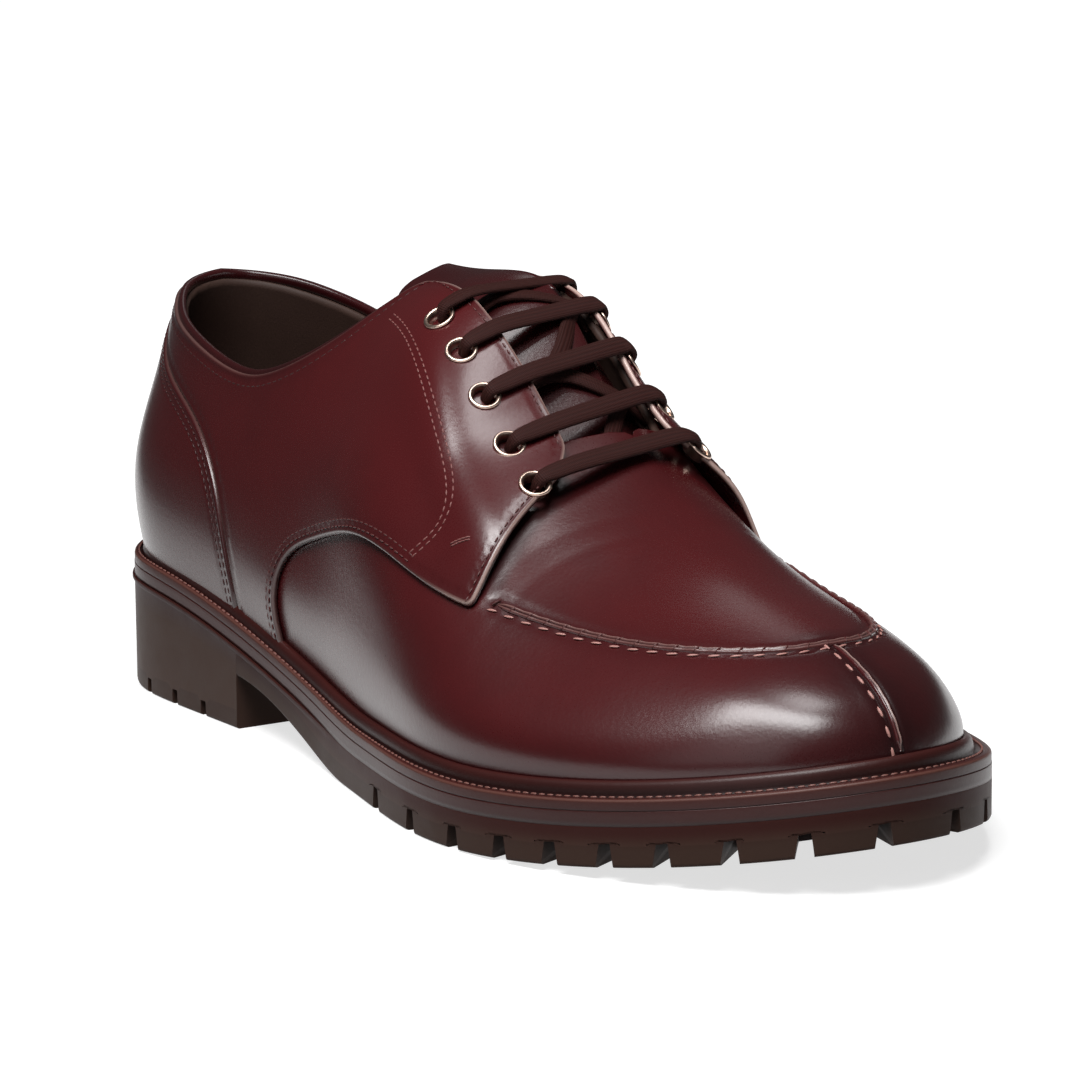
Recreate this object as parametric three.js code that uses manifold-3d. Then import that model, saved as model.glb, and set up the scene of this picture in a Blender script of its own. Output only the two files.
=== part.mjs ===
// Lug sole derby shoe, right foot, standing empty and unbent on its sole.
// Millimetres, +Z up, +X to the toe, +Y to the medial side. Lengths run from the back of the sole.
import * as THREE from 'three';
import Module from 'manifold-3d';

const wasm = await Module();
wasm.setup();

// Driving sizes of the sole
const SOLE_LENGTH = 306;
const SOLE_BALL_WIDTH = 124;
const HEEL_SEAT_HEIGHT = 35;
const FORE_SEAT_HEIGHT = 15.5;
const TOE_SPRING = 11;
const TOE_SWING = 1.5;
const HEEL_LENGTH = 88;
const BREAST_HEIGHT = 14;
const BREAST_ROUND = 3;
const SOLE_EDGE_ROUND = 0.9;
const SOLE_ROUND_LEVEL = 0.1;
const MIDSOLE_THICKNESS = 3.2;
const WELT_THICKNESS = 2.6;
const BEAD_HEIGHT = 2.4;
const BEAD_WIDTH = 2.6;
const GROOVE_WIDTH = 0.6;
const GROOVE_DEPTH = 0.7;
const WELT_BEVEL = 0.5;
const WELT_SET_BACK = 0.2;
const WELT_TUCK = 3;

// Driving sizes of the tread
const NOTCH_HEIGHT = 5;
const NOTCH_TOP_WIDTH = 4.2;
const NOTCH_FOOT_WIDTH = 6;
const NOTCH_REACH = 15;
const HEEL_NOTCH_HEIGHT = 4;
const HEEL_NOTCH_WIDTH = 3;
const HEEL_NOTCH_REACH = 9;
const CHANNEL_WIDTH = 4;
const NOTCH_RUNOUT = 1;

// Driving sizes of the last and of what is built on it
const HEEL_MARGIN = 5.5;
const TOE_MARGIN = 7.5;
const BALL_MARGIN = 6;
const INSTEP_HEIGHT = 98;
const HEEL_CURVE = 8;
const UPPER_WALL = 2;
const QUARTER_THICKNESS = 1.6;
const COUNTER_THICKNESS = 2.3;
const INSOLE_THICKNESS = 3;
const TONGUE_THICKNESS = 2.4;
const LACE_ROOM = 2.6;
const APRON_RIDGE_WIDTH = 2.6;
const APRON_RIDGE_HEIGHT = 1.3;
const TOE_RIDGE_WIDTH = 2;
const TOE_RIDGE_HEIGHT = 0.9;
const RIDGE_ROOT = 1;

// Driving sizes of the lacing
const EYELET_PAIRS = 5;
const EYELET_FLANGE_RADIUS = 4.1;
const EYELET_HOLE_RADIUS = 2.3;
const EYELET_BARREL_WALL = 0.6;
const EYELET_BARREL_DEPTH = 3;
const EYELET_RIM = 0.9;
const LACE_WIDTH = 4.4;
const LACE_THICKNESS = 2;
const LACE_EASE = 0.2;
const FLANGE_EASE = 0.56;
const INSTEP_SLOPE = 0.55;

// Fits
const GAP = 0.3;
const DEEP = 12;
const EDGE_TAPER = 8;

// Grid density of the faceted forms
const LAST_STATIONS = 26;
const LAST_TURNS = 7;
const SOLE_STATIONS = 28;
const WELT_STATIONS = 23;
const ARCH_STEPS = 10;
const CHANNEL_STATIONS = 18;
const EYELET_FACETS = 8;
const LACE_FACETS = 6;
const TOE_SEAM_STEPS = 7;

const LATERAL = -1;
const MEDIAL = 1;
const SIDES = [{ name: 'lateral', sign: LATERAL }, { name: 'medial', sign: MEDIAL }];

const LAST_LENGTH = SOLE_LENGTH - HEEL_MARGIN - TOE_MARGIN;
const LAST_BALL_WIDTH = SOLE_BALL_WIDTH - 2 * BALL_MARGIN;

// Outline of sole and last. Columns: share of the length, then the lateral and
// medial half widths as shares of half the ball width.
const OUTLINE = [
  [0.000, 0.000, 0.000],
  [0.015, 0.285, 0.275],
  [0.050, 0.480, 0.460],
  [0.110, 0.635, 0.600],
  [0.180, 0.675, 0.620],
  [0.260, 0.685, 0.575],
  [0.340, 0.700, 0.510],
  [0.420, 0.745, 0.490],
  [0.500, 0.835, 0.560],
  [0.580, 0.935, 0.700],
  [0.650, 1.005, 0.870],
  [0.710, 1.015, 0.975],
  [0.770, 0.965, 1.000],
  [0.830, 0.865, 0.905],
  [0.890, 0.715, 0.745],
  [0.940, 0.540, 0.565],
  [0.975, 0.355, 0.370],
  [0.993, 0.185, 0.195],
  [1.000, 0.000, 0.000],
];

// Sections of the last. Columns: share of the length, height as a share of the
// instep height, half widths at the six height shares of SECTION_LEVELS as
// shares of the half width at the foot, and lean of the ridge to the medial
// side as a share of half the last's ball width.
const SECTION_LEVELS = [0.12, 0.30, 0.50, 0.70, 0.86, 0.96];
const SECTIONS = [
  [0.00, 0.837, 1.04, 1.03, 0.88, 0.74, 0.65, 0.46, 0.00],
  [0.08, 0.867, 1.04, 1.03, 0.89, 0.76, 0.66, 0.47, 0.00],
  [0.18, 0.913, 1.03, 1.02, 0.90, 0.78, 0.66, 0.43, 0.02],
  [0.28, 0.959, 1.03, 1.01, 0.91, 0.77, 0.60, 0.36, 0.09],
  [0.38, 1.000, 1.04, 1.01, 0.93, 0.77, 0.56, 0.31, 0.23],
  [0.48, 1.015, 1.03, 1.01, 0.95, 0.78, 0.61, 0.33, 0.30],
  [0.60, 0.702, 1.02, 1.00, 0.93, 0.78, 0.60, 0.24, 0.22],
  [0.68, 0.526, 1.02, 1.00, 0.90, 0.73, 0.52, 0.29, 0.16],
  [0.75, 0.429, 1.02, 1.00, 0.88, 0.71, 0.50, 0.28, 0.10],
  [0.82, 0.367, 1.02, 1.00, 0.89, 0.73, 0.53, 0.29, 0.08],
  [0.87, 0.324, 1.02, 1.00, 0.90, 0.75, 0.56, 0.31, 0.07],
  [0.91, 0.284, 1.02, 1.00, 0.91, 0.77, 0.58, 0.32, 0.05],
  [0.95, 0.222, 1.02, 1.01, 0.92, 0.78, 0.58, 0.32, 0.03],
  [0.98, 0.148, 1.02, 1.01, 0.93, 0.78, 0.58, 0.32, 0.01],
  [1.00, 0.000, 1.02, 1.01, 0.93, 0.78, 0.58, 0.32, 0.00],
];

// Profile of the heel's back. Columns: height share, forward shift as a share
// of the heel curve.
const HEEL_BACK = [
  [0.00, 0.00],
  [0.12, -0.28],
  [0.28, -0.40],
  [0.45, -0.19],
  [0.65, 0.31],
  [0.80, 0.69],
  [1.00, 1.00],
];
const HEEL_BACK_REACH = 0.30;

// Seams on the last. Columns: share of the last's length, height share.
const COLLAR = [
  [0.000, 0.840],
  [0.040, 0.795],
  [0.090, 0.735],
  [0.160, 0.662],
  [0.220, 0.628],
  [0.260, 0.636],
  [0.305, 0.696],
  [0.345, 0.782],
  [0.377, 0.872],
  [0.396, 0.930],
];
const FACING = [
  [0.400, 0.942],
  [0.440, 0.947],
  [0.500, 0.948],
  [0.560, 0.949],
  [0.600, 0.948],
];
const TAB_FRONT = [
  [0.619, 0.928],
  [0.632, 0.870],
  [0.643, 0.780],
  [0.650, 0.690],
  [0.654, 0.622],
];
const QUARTER_FOOT = [
  [0.570, 0.535],
  [0.510, 0.475],
  [0.455, 0.410],
  [0.400, 0.345],
  [0.357, 0.265],
  [0.341, 0.170],
  [0.340, 0.080],
  [0.345, 0.000],
];
const COUNTER_FRONT = [
  [0.275, 0.000],
  [0.268, 0.110],
  [0.256, 0.220],
  [0.232, 0.350],
  [0.190, 0.455],
  [0.140, 0.530],
  [0.085, 0.620],
  [0.050, 0.690],
  [0.022, 0.735],
];
const COUNTER_TOP = 0.748;
const COUNTER_MIDDLE = 0.40;
const QUARTER_MIDDLE = [0.31, 0.45];
const OPENING_MIDDLE = 0.30;
const COUNTER_FOOT = [0.20, 0.13, 0.07, 0.025];
const BACK_SEAM = 1e-5;
const APRON = [
  [0.674, 0.683],
  [0.694, 0.704],
  [0.724, 0.735],
  [0.780, 0.790],
  [0.826, 0.840],
  [0.863, 0.895],
  [0.890, 0.950],
  [0.902, 0.985],
];
const THROAT = [
  [0.402, 0.936],
  [0.450, 0.936],
  [0.500, 0.936],
  [0.550, 0.936],
  [0.592, 0.941],
  [0.604, 0.980],
];
const THROAT_FRONT = 0.607;
const TONGUE_EDGE = [
  [0.347, 0.985],
  [0.349, 0.955],
  [0.356, 0.925],
  [0.372, 0.905],
  [0.400, 0.893],
  [0.450, 0.888],
  [0.550, 0.880],
  [0.630, 0.885],
  [0.650, 0.930],
];
const TONGUE_TOP = 0.345;
const TONGUE_FRONT = 0.655;
const APRON_FRONT = 0.905;
const TAB_SET_BACK = 0.014;
const TOE_SEAM_END = 0.992;
const EYELET_FIRST = 0.463;
const EYELET_LAST = 0.617;
const EYELET_LEVEL = 0.900;

// Knots of a lace bar past its eyelet. Columns: height share, drop below the
// height at which the bar leaves the eyelet's rim.
const LACE_RUN = [
  [0.904, 0],
  [0.922, 0],
  [0.985, 0.9],
];

// Share of the length at which each side's lugs are notched
const SOLE_NOTCHES = [0.58, 0.65, 0.71, 0.76, 0.805, 0.848, 0.888, 0.93, 0.968, 0.995];
const HEEL_NOTCHES = [0.025, 0.08, 0.13, 0.18, 0.23];
const SOLE_CHANNELS = [0.62, 0.69, 0.76, 0.83];
const HEEL_CHANNELS = [0.08, 0.13, 0.18, 0.23];
const RING_START = 0.54;
const RING_END = 0.955;

// Shares of the length between which the sole's heights change
const SEAT_FALL_START = 0.10;
const SEAT_FALL_END = 0.54;
const ARCH_LEAD = 0.02;
const ARCH_END = 0.50;
const SWING_START = 0.60;
const SPRING_START = 0.68;

// Natural cubic spline through rows of one or more columns
function spline(at, rows) {
  const last = at.length - 1;
  const columns = rows[0].length;
  const bend = rows.map(() => new Array(columns).fill(0));
  for (let column = 0; column < columns; column += 1) {
    const upper = new Array(last + 1).fill(0);
    const right = new Array(last + 1).fill(0);
    for (let i = 1; i < last; i += 1) {
      const before = at[i] - at[i - 1];
      const after = at[i + 1] - at[i];
      const rise = (rows[i + 1][column] - rows[i][column]) / after;
      const fall = (rows[i][column] - rows[i - 1][column]) / before;
      const pivot = 2 * (before + after) - before * upper[i - 1];
      upper[i] = after / pivot;
      right[i] = (6 * (rise - fall) - before * right[i - 1]) / pivot;
    }
    for (let i = last - 1; i > 0; i -= 1) {
      bend[i][column] = right[i] - upper[i] * bend[i + 1][column];
    }
  }
  return (x) => {
    let i = 0;
    while (i < last - 1 && x > at[i + 1]) i += 1;
    const span = at[i + 1] - at[i];
    const a = (at[i + 1] - x) / span;
    const b = (x - at[i]) / span;
    return rows[i].map((value, column) => a * value + b * rows[i + 1][column]
      + ((a ** 3 - a) * bend[i][column] + (b ** 3 - b) * bend[i + 1][column]) * span * span / 6);
  };
}

const clamp = THREE.MathUtils.clamp;

// Lengths are turned into angles so that outlines close round at both ends
const lengthAngle = (share) => Math.acos(clamp(1 - 2 * share, -1, 1));
const roundSpline = (table) => {
  const curve = spline(table.map((row) => lengthAngle(row[0])), table.map((row) => row.slice(1)));
  return (share) => curve(lengthAngle(share));
};
const outlineAt = roundSpline(OUTLINE);
const sectionAt = roundSpline(SECTIONS);
const heelBackAt = spline(HEEL_BACK.map((row) => row[0]), HEEL_BACK.map((row) => [row[1]]));
const levelAngles = [0, ...SECTION_LEVELS, 1].map((share) => Math.asin(share));
const levelBasis = spline(levelAngles, levelAngles.map((angle, i) => levelAngles.map((other, j) => Number(i === j))));

// Heights along the sole
const ease = (from, to, x) => 0.5 - 0.5 * Math.cos(Math.PI * clamp((x - from) / (to - from), 0, 1));
const curlAt = (start, x) => Math.max(0, (x / SOLE_LENGTH - start) / (1 - start)) ** 2;
const springAt = (x) => TOE_SPRING * curlAt(SPRING_START, x);
const swingAt = (x) => TOE_SWING * curlAt(SWING_START, x);
function seatAt(x) {
  const drop = (HEEL_SEAT_HEIGHT - FORE_SEAT_HEIGHT) * (1 - ease(SEAT_FALL_START, SEAT_FALL_END, x / SOLE_LENGTH));
  return FORE_SEAT_HEIGHT + drop + springAt(x);
}
const weltFootAt = (x) => seatAt(x) - WELT_THICKNESS;
const midsoleTopAt = (x) => weltFootAt(x) - GAP;
const midsoleFootAt = (x) => midsoleTopAt(x) - MIDSOLE_THICKNESS;
const outsoleTopAt = (x) => midsoleFootAt(x) - GAP;

// A point of the last: share of length, side, and angle up the section (0 foot, 90 degrees ridge)
function lastPoint(share, side, angle) {
  const section = sectionAt(share);
  const widths = outlineAt(share);
  const rise = Math.sin(angle);
  const basis = levelBasis(Math.min(angle, Math.PI / 2));
  let width = basis[0];
  for (let i = 0; i < SECTION_LEVELS.length; i += 1) width += basis[i + 1] * section[i + 1];
  const ridge = section[7] * LAST_BALL_WIDTH / 2;
  const foot = side * widths[side === LATERAL ? 0 : 1] * LAST_BALL_WIDTH / 2;
  const x = HEEL_MARGIN + share * LAST_LENGTH;
  const back = HEEL_CURVE * heelBackAt(rise)[0] * Math.max(0, 1 - share / HEEL_BACK_REACH) ** 2;
  return new THREE.Vector3(x + back, ridge + (foot - ridge) * width + swingAt(x), seatAt(x) + section[0] * INSTEP_HEIGHT * rise);
}

// Outward normal of the last
function lastNormal(share, side, angle) {
  const step = 1e-3;
  if (share >= 1) return new THREE.Vector3(1, 0, 0);
  const along = lastPoint(Math.min(share + step, 1), side, angle).sub(lastPoint(Math.max(share - step, 0), side, angle));
  const up = lastPoint(share, side, Math.min(angle + step, Math.PI / 2)).sub(lastPoint(share, side, Math.max(angle - step, 0)));
  const normal = new THREE.Vector3().crossVectors(up, along).multiplyScalar(side);
  if (share <= 0) normal.y = 0;
  if (share <= 0 && normal.x > 0) normal.negate();
  return normal.normalize();
}

const lifted = (share, side, angle, lift) => lastPoint(share, side, angle).addScaledVector(lastNormal(share, side, angle), lift);

// Closed solid from vertices and triangles, with coincident vertices shared
function solidOf(points, triangles) {
  const seen = new Map();
  const kept = [];
  const index = points.map((p) => {
    const key = [p.x, p.y, p.z].map((value) => Math.round(value * 1e3)).join();
    if (!seen.has(key)) {
      seen.set(key, kept.length);
      kept.push(p);
    }
    return seen.get(key);
  });
  const corners = [];
  for (const [a, b, c] of triangles) {
    const [i, j, k] = [index[a], index[b], index[c]];
    if (i !== j && j !== k && k !== i) corners.push(i, j, k);
  }
  const vertProperties = new Float32Array(kept.flatMap((p) => [p.x, p.y, p.z]));
  const mesh = new wasm.Mesh({ numProp: 3, vertProperties, triVerts: new Uint32Array(corners) });
  const solid = new wasm.Manifold(mesh);
  return solid.volume() < 0 ? flipped(points, triangles) : solid;
}

const flipped = (points, triangles) => solidOf(points, triangles.map(([a, b, c]) => [a, c, b]));

// Solid through closed rings of equally many points; looped rings join end to start
function loft(rings, looped = false) {
  const count = rings[0].length;
  const points = rings.flat();
  const triangles = [];
  const steps = looped ? rings.length : rings.length - 1;
  for (let i = 0; i < steps; i += 1) {
    const here = i * count;
    const there = ((i + 1) % rings.length) * count;
    for (let j = 0; j < count; j += 1) {
      const next = (j + 1) % count;
      triangles.push([here + j, there + j, there + next], [here + j, there + next, here + next]);
    }
  }
  if (!looped) {
    for (const [ring, turned] of [[0, true], [rings.length - 1, false]]) {
      const hub = points.length;
      const sum = rings[ring].reduce((total, p) => total.add(p), new THREE.Vector3());
      points.push(sum.divideScalar(count));
      for (let j = 0; j < count; j += 1) {
        const a = ring * count + j;
        const b = ring * count + (j + 1) % count;
        triangles.push(turned ? [hub, a, b] : [hub, b, a]);
      }
    }
  }
  return solidOf(points, triangles);
}

const stations = (count) => Array.from({ length: count + 1 }, (_, i) => (1 - Math.cos(Math.PI * i / count)) / 2);

// The last's closed form, lifted outward, with its foot dropped below the seat
function lastForm(lift, drop) {
  const rings = stations(LAST_STATIONS).map((share) => {
    const ring = [];
    for (const side of [LATERAL, MEDIAL]) {
      const half = [];
      for (let turn = 0; turn <= LAST_TURNS; turn += 1) {
        half.push(lifted(share, side, Math.PI / 2 * turn / LAST_TURNS, lift));
      }
      const foot = half[0].clone();
      foot.z = seatAt(HEEL_MARGIN + share * LAST_LENGTH) - drop;
      half.unshift(foot);
      if (side === LATERAL) ring.push(...half);
      else ring.push(...half.slice(0, -1).reverse());
    }
    return ring;
  });
  return loft(rings);
}

// Footprint point of the sole (inset inward by a length) or of the last
function soleEdge(share, side, inset = 0) {
  const half = outlineAt(share)[side === LATERAL ? 0 : 1] * SOLE_BALL_WIDTH / 2;
  const squeeze = 1 - 2 * inset / SOLE_LENGTH;
  const x = inset + share * SOLE_LENGTH * squeeze;
  return new THREE.Vector2(x, side * Math.max(0, half - inset * Math.min(1, half / EDGE_TAPER)) + swingAt(x));
}

// Plate between two heights along the sole. Side rows: height share, inset.
function plate(topAt, footAt, sideRows) {
  const rings = stations(SOLE_STATIONS).map((share) => {
    const edge = (side, [level, inset]) => {
      const p = soleEdge(share, side, inset);
      const foot = footAt(p.x);
      return new THREE.Vector3(p.x, p.y, foot + level * (topAt(p.x) - foot));
    };
    const up = sideRows.map((row) => edge(MEDIAL, row));
    const down = sideRows.map((row) => edge(LATERAL, row)).reverse();
    return [...up, ...down];
  });
  return loft(rings);
}

// Solid of an extruded three.js shape, placed by a matrix
function extruded(outline, depth, place) {
  const shape = new THREE.Shape(outline.map(([x, y]) => new THREE.Vector2(x, y)));
  const geometry = new THREE.ExtrudeGeometry(shape, { depth, bevelEnabled: false }).applyMatrix4(place);
  return geometrySolid(geometry);
}

function geometrySolid(geometry) {
  const flat = geometry.index ? geometry.toNonIndexed() : geometry;
  const position = flat.getAttribute('position');
  const points = [];
  for (let i = 0; i < position.count; i += 1) points.push(new THREE.Vector3().fromBufferAttribute(position, i));
  const triangles = [];
  for (let i = 0; i < position.count; i += 3) triangles.push([i, i + 1, i + 2]);
  return solidOf(points, triangles);
}

// Matrix with the given axes and origin
const frameOf = (x, y, z, origin) => new THREE.Matrix4().makeBasis(x, y, z).setPosition(origin);
const AXIS_X = new THREE.Vector3(1, 0, 0);
const AXIS_Y = new THREE.Vector3(0, 1, 0);
const AXIS_Z = new THREE.Vector3(0, 0, 1);

// Hollow under the waist: arch curve from the heel breast to the tread
function archCutter() {
  const start = HEEL_LENGTH / SOLE_LENGTH;
  const outline = [[HEEL_LENGTH, -DEEP]];
  for (const turn of [0, Math.PI / 6, Math.PI / 3, Math.PI / 2]) {
    outline.push([HEEL_LENGTH + BREAST_ROUND * (1 - Math.cos(turn)), BREAST_HEIGHT - BREAST_ROUND * (1 - Math.sin(turn))]);
  }
  for (let step = 1; step <= ARCH_STEPS; step += 1) {
    const share = start + (ARCH_END - start) * step / ARCH_STEPS;
    if (share * SOLE_LENGTH <= HEEL_LENGTH + 1.3 * BREAST_ROUND) continue;
    outline.push([share * SOLE_LENGTH, BREAST_HEIGHT * (1 - ease(start - ARCH_LEAD, ARCH_END, share))]);
  }
  outline.push([ARCH_END * SOLE_LENGTH, -DEEP]);
  const place = frameOf(AXIS_X, AXIS_Z, AXIS_Y.clone().negate(), new THREE.Vector3(0, SOLE_BALL_WIDTH, 0));
  return extruded(outline, 2 * SOLE_BALL_WIDTH, place);
}

// Notch that runs in from the sole's edge, narrower at its top
function notch(share, side, height, topWidth, footWidth, reach) {
  const step = 2e-3;
  const here = soleEdge(share, side);
  const ahead = soleEdge(Math.min(share + step, 1), side).sub(soleEdge(Math.max(share - step, 0), side)).normalize();
  const along = new THREE.Vector3(ahead.x, ahead.y, 0);
  const inward = new THREE.Vector3(ahead.y, -ahead.x, 0).multiplyScalar(side);
  const floor = springAt(here.x);
  const slope = (springAt(here.x + NOTCH_RUNOUT) - floor) / NOTCH_RUNOUT * ahead.x;
  const tilted = along.clone().setZ(slope).normalize();
  const rise = new THREE.Vector3().crossVectors(inward, tilted).multiplyScalar(side);
  if (rise.z < 0) rise.negate();
  const origin = new THREE.Vector3(here.x, here.y, floor).addScaledVector(inward, -DEEP);
  const below = (footWidth + (footWidth - topWidth) * NOTCH_RUNOUT / height) / 2;
  const outline = [[-below, -NOTCH_RUNOUT], [below, -NOTCH_RUNOUT], [topWidth / 2, height], [-topWidth / 2, height]];
  const handed = new THREE.Vector3().crossVectors(tilted, rise).dot(inward) > 0;
  const place = frameOf(handed ? tilted : tilted.clone().negate(), rise, inward, origin);
  return extruded(outline, reach + DEEP, place);
}

// Channel that follows the tread's outline, a set distance in
function ringChannel(from, to, inset, height) {
  const rows = [];
  for (const side of [LATERAL, MEDIAL]) {
    const row = [];
    for (let i = 0; i <= CHANNEL_STATIONS; i += 1) {
      row.push([from + (to - from) * Math.sin(Math.PI / 2 * i / CHANNEL_STATIONS), side]);
    }
    rows.push(side === LATERAL ? row : row.reverse().slice(1));
  }
  const rings = rows.flat().map(([share, side]) => {
    const inner = soleEdge(share, side, inset + CHANNEL_WIDTH);
    const outer = soleEdge(share, side, inset);
    const roof = springAt(outer.x) + height;
    return [[outer, -DEEP], [inner, -DEEP], [inner, roof], [outer, roof]].map(([p, z]) => new THREE.Vector3(p.x, p.y, z));
  });
  return loft(rings);
}

// Straight channel across the tread's middle
function crossChannel(share, height) {
  const x = share * SOLE_LENGTH;
  const low = soleEdge(share, LATERAL, NOTCH_REACH).y;
  const high = soleEdge(share, MEDIAL, NOTCH_REACH).y;
  const half = CHANNEL_WIDTH / 2;
  const outline = [[x - half, low], [x + half, low], [x + half, high], [x - half, high]];
  const roof = springAt(x) + height;
  return extruded(outline, DEEP + roof, new THREE.Matrix4().makeTranslation(0, 0, -DEEP));
}

function makeOutsole() {
  const side = [[0, SOLE_EDGE_ROUND], [SOLE_ROUND_LEVEL, 0], [1, 0]];
  let solid = plate(outsoleTopAt, springAt, side).subtract(archCutter());
  for (const { sign } of SIDES) {
    for (const share of SOLE_NOTCHES) {
      solid = solid.subtract(notch(share, sign, NOTCH_HEIGHT, NOTCH_TOP_WIDTH, NOTCH_FOOT_WIDTH, NOTCH_REACH));
    }
    for (const share of HEEL_NOTCHES) {
      solid = solid.subtract(notch(share, sign, HEEL_NOTCH_HEIGHT, HEEL_NOTCH_WIDTH, HEEL_NOTCH_WIDTH, HEEL_NOTCH_REACH));
    }
  }
  solid = solid.subtract(ringChannel(RING_START, RING_END, NOTCH_REACH, NOTCH_HEIGHT));
  for (const share of SOLE_CHANNELS) solid = solid.subtract(crossChannel(share, NOTCH_HEIGHT));
  for (const share of HEEL_CHANNELS) solid = solid.subtract(crossChannel(share, HEEL_NOTCH_HEIGHT));
  return solid;
}

const makeMidsole = () => plate(midsoleTopAt, midsoleFootAt, [[0, 0], [1, 0]]);

// Storm welt: a bead against the upper, a groove and a flat edge
function makeWelt() {
  const shares = stations(WELT_STATIONS);
  const way = [...shares.map((share) => [share, LATERAL]), ...shares.slice(1, -1).reverse().map((share) => [share, MEDIAL])];
  const rings = way.map(([share, side]) => {
    const inner = lastPoint(share, side, 0);
    const outer = soleEdge(share, side, WELT_SET_BACK);
    const out = new THREE.Vector3(outer.x - inner.x, outer.y - inner.y, 0);
    const margin = out.length();
    out.normalize();
    const seat = seatAt(outer.x);
    const rows = [
      [-WELT_TUCK, -WELT_THICKNESS],
      [margin, -WELT_THICKNESS],
      [margin, -WELT_BEVEL],
      [margin - WELT_BEVEL, 0],
      [BEAD_WIDTH + GROOVE_WIDTH, 0],
      [BEAD_WIDTH, -GROOVE_DEPTH],
      [BEAD_WIDTH * 0.7, BEAD_HEIGHT * 0.9],
      [-WELT_TUCK, BEAD_HEIGHT],
    ];
    return rows.map(([reach, level]) => new THREE.Vector3(inner.x, inner.y, seat + level).addScaledVector(out, reach));
  });
  return loft(rings, true).subtract(lastForm(GAP, WELT_THICKNESS + DEEP));
}

// Point inside the last from which seams are cut outward, and how far the cut
// runs as shares of the way from there to the last
const CUTTER_REACHES = [0.35, 0.85, 1.15, 3];
const SPINE_BACK = 0.33;
const SPINE_FRONT = 0.80;
const SPINE_LEVEL = 0.4;
function spinePoint(p) {
  const share = clamp((p.x - HEEL_MARGIN) / LAST_LENGTH, SPINE_BACK, SPINE_FRONT);
  const top = lastPoint(share, MEDIAL, Math.PI / 2);
  const seat = seatAt(top.x);
  return new THREE.Vector3(top.x, top.y / 2, seat + SPINE_LEVEL * (top.z - seat));
}

// Solid that cuts out everything behind and before an outline drawn on the last.
// Outline entries: side, share of length, height share.
function seamCutter(outline, middle) {
  const place = ([side, share, level], reach) => {
    const p = lastPoint(clamp(share, 0, 1), side, Math.asin(clamp(level, 0, 1)));
    if (level < 0) p.z += level * INSTEP_HEIGHT;
    return spinePoint(p).lerp(p, reach);
  };
  const count = outline.length;
  const points = CUTTER_REACHES.flatMap((reach) => outline.map((entry) => place(entry, reach)));
  const nearHub = points.push(place(middle, CUTTER_REACHES[0])) - 1;
  const farHub = points.push(place(middle, CUTTER_REACHES.at(-1))) - 1;
  const top = (CUTTER_REACHES.length - 1) * count;
  const triangles = [];
  for (let i = 0; i < count; i += 1) {
    const next = (i + 1) % count;
    for (let low = 0; low < top; low += count) {
      const high = low + count;
      triangles.push([low + i, low + next, high + next], [low + i, high + next, high + i]);
    }
    triangles.push([nearHub, next, i], [farHub, top + i, top + next]);
  }
  return solidOf(points, triangles);
}

// Rows of a seam on one side, moved along the length and rounded by extra points
function seam(rows, side, shift = 0, steps = 1) {
  const curve = new THREE.CatmullRomCurve3(rows.map(([share, level]) => new THREE.Vector3(share + shift, level, 0)));
  return curve.getPoints((rows.length - 1) * steps).map((p) => [side, p.x, p.y]);
}

const BELOW = -0.12;
const FOOT = 0.001;
const belowFoot = (entries) => entries.map(([side, share, level]) => [side, share, level <= FOOT ? BELOW : level]);
const tabShift = (side) => (side === LATERAL ? 0.5 : -0.5) * TAB_SET_BACK;

// Outline of the top opening: collar, facings and throat
function openingOutline() {
  const half = (side) => [...seam(COLLAR, side), ...seam(THROAT, side)];
  const medial = half(MEDIAL).reverse().slice(0, -1);
  return [...half(LATERAL), [LATERAL, THROAT_FRONT, 1], ...medial];
}

// Quarter: from the back seam along collar, facing, tab and foot, then back above the counter
function quarterOutline(side) {
  const shift = tabShift(side);
  const aside = GAP / LAST_LENGTH;
  const above = 1.5 * GAP / INSTEP_HEIGHT;
  const counterEdge = belowFoot(seam(COUNTER_FRONT, side, aside));
  return [
    ...belowFoot([
      [side, BACK_SEAM, COLLAR[0][1]],
      ...seam(COLLAR.slice(1), side),
      ...seam(FACING, side, shift * 0.5),
      ...seam(TAB_FRONT, side, shift),
      ...seam(QUARTER_FOOT, side, shift),
    ]),
    ...counterEdge.map(([, share, level]) => [side, share, level + above]),
    [side, BACK_SEAM, COUNTER_TOP + above],
  ];
}

function counterOutline() {
  const rise = (side) => belowFoot(seam(COUNTER_FRONT, side));
  const foot = (side) => COUNTER_FOOT.map((share) => [side, share, BELOW]);
  return [
    ...rise(LATERAL),
    [LATERAL, 0, COUNTER_TOP],
    ...rise(MEDIAL).reverse(),
    ...foot(MEDIAL),
    [MEDIAL, 0, BELOW],
    ...foot(LATERAL).reverse(),
  ];
}

// Raised ridge along a seam, sunk into the wall that it stands on
function ridge(entries, width, height) {
  const points = entries.map(([side, share, level]) => lastPoint(share, side, Math.asin(Math.min(level, 1))));
  const normals = entries.map(([side, share, level]) => lastNormal(share, side, Math.asin(Math.min(level, 1))));
  const rings = points.map((p, i) => {
    const ahead = points[Math.min(i + 1, points.length - 1)].clone().sub(points[Math.max(i - 1, 0)]).normalize();
    const across = new THREE.Vector3().crossVectors(ahead, normals[i]).normalize();
    const rows = [[-0.5, -RIDGE_ROOT], [0.5, -RIDGE_ROOT], [0.25, height], [-0.25, height]];
    return rows.map(([aside, up]) => p.clone().addScaledVector(across, aside * width).addScaledVector(normals[i], up));
  });
  return loft(rings);
}

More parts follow.
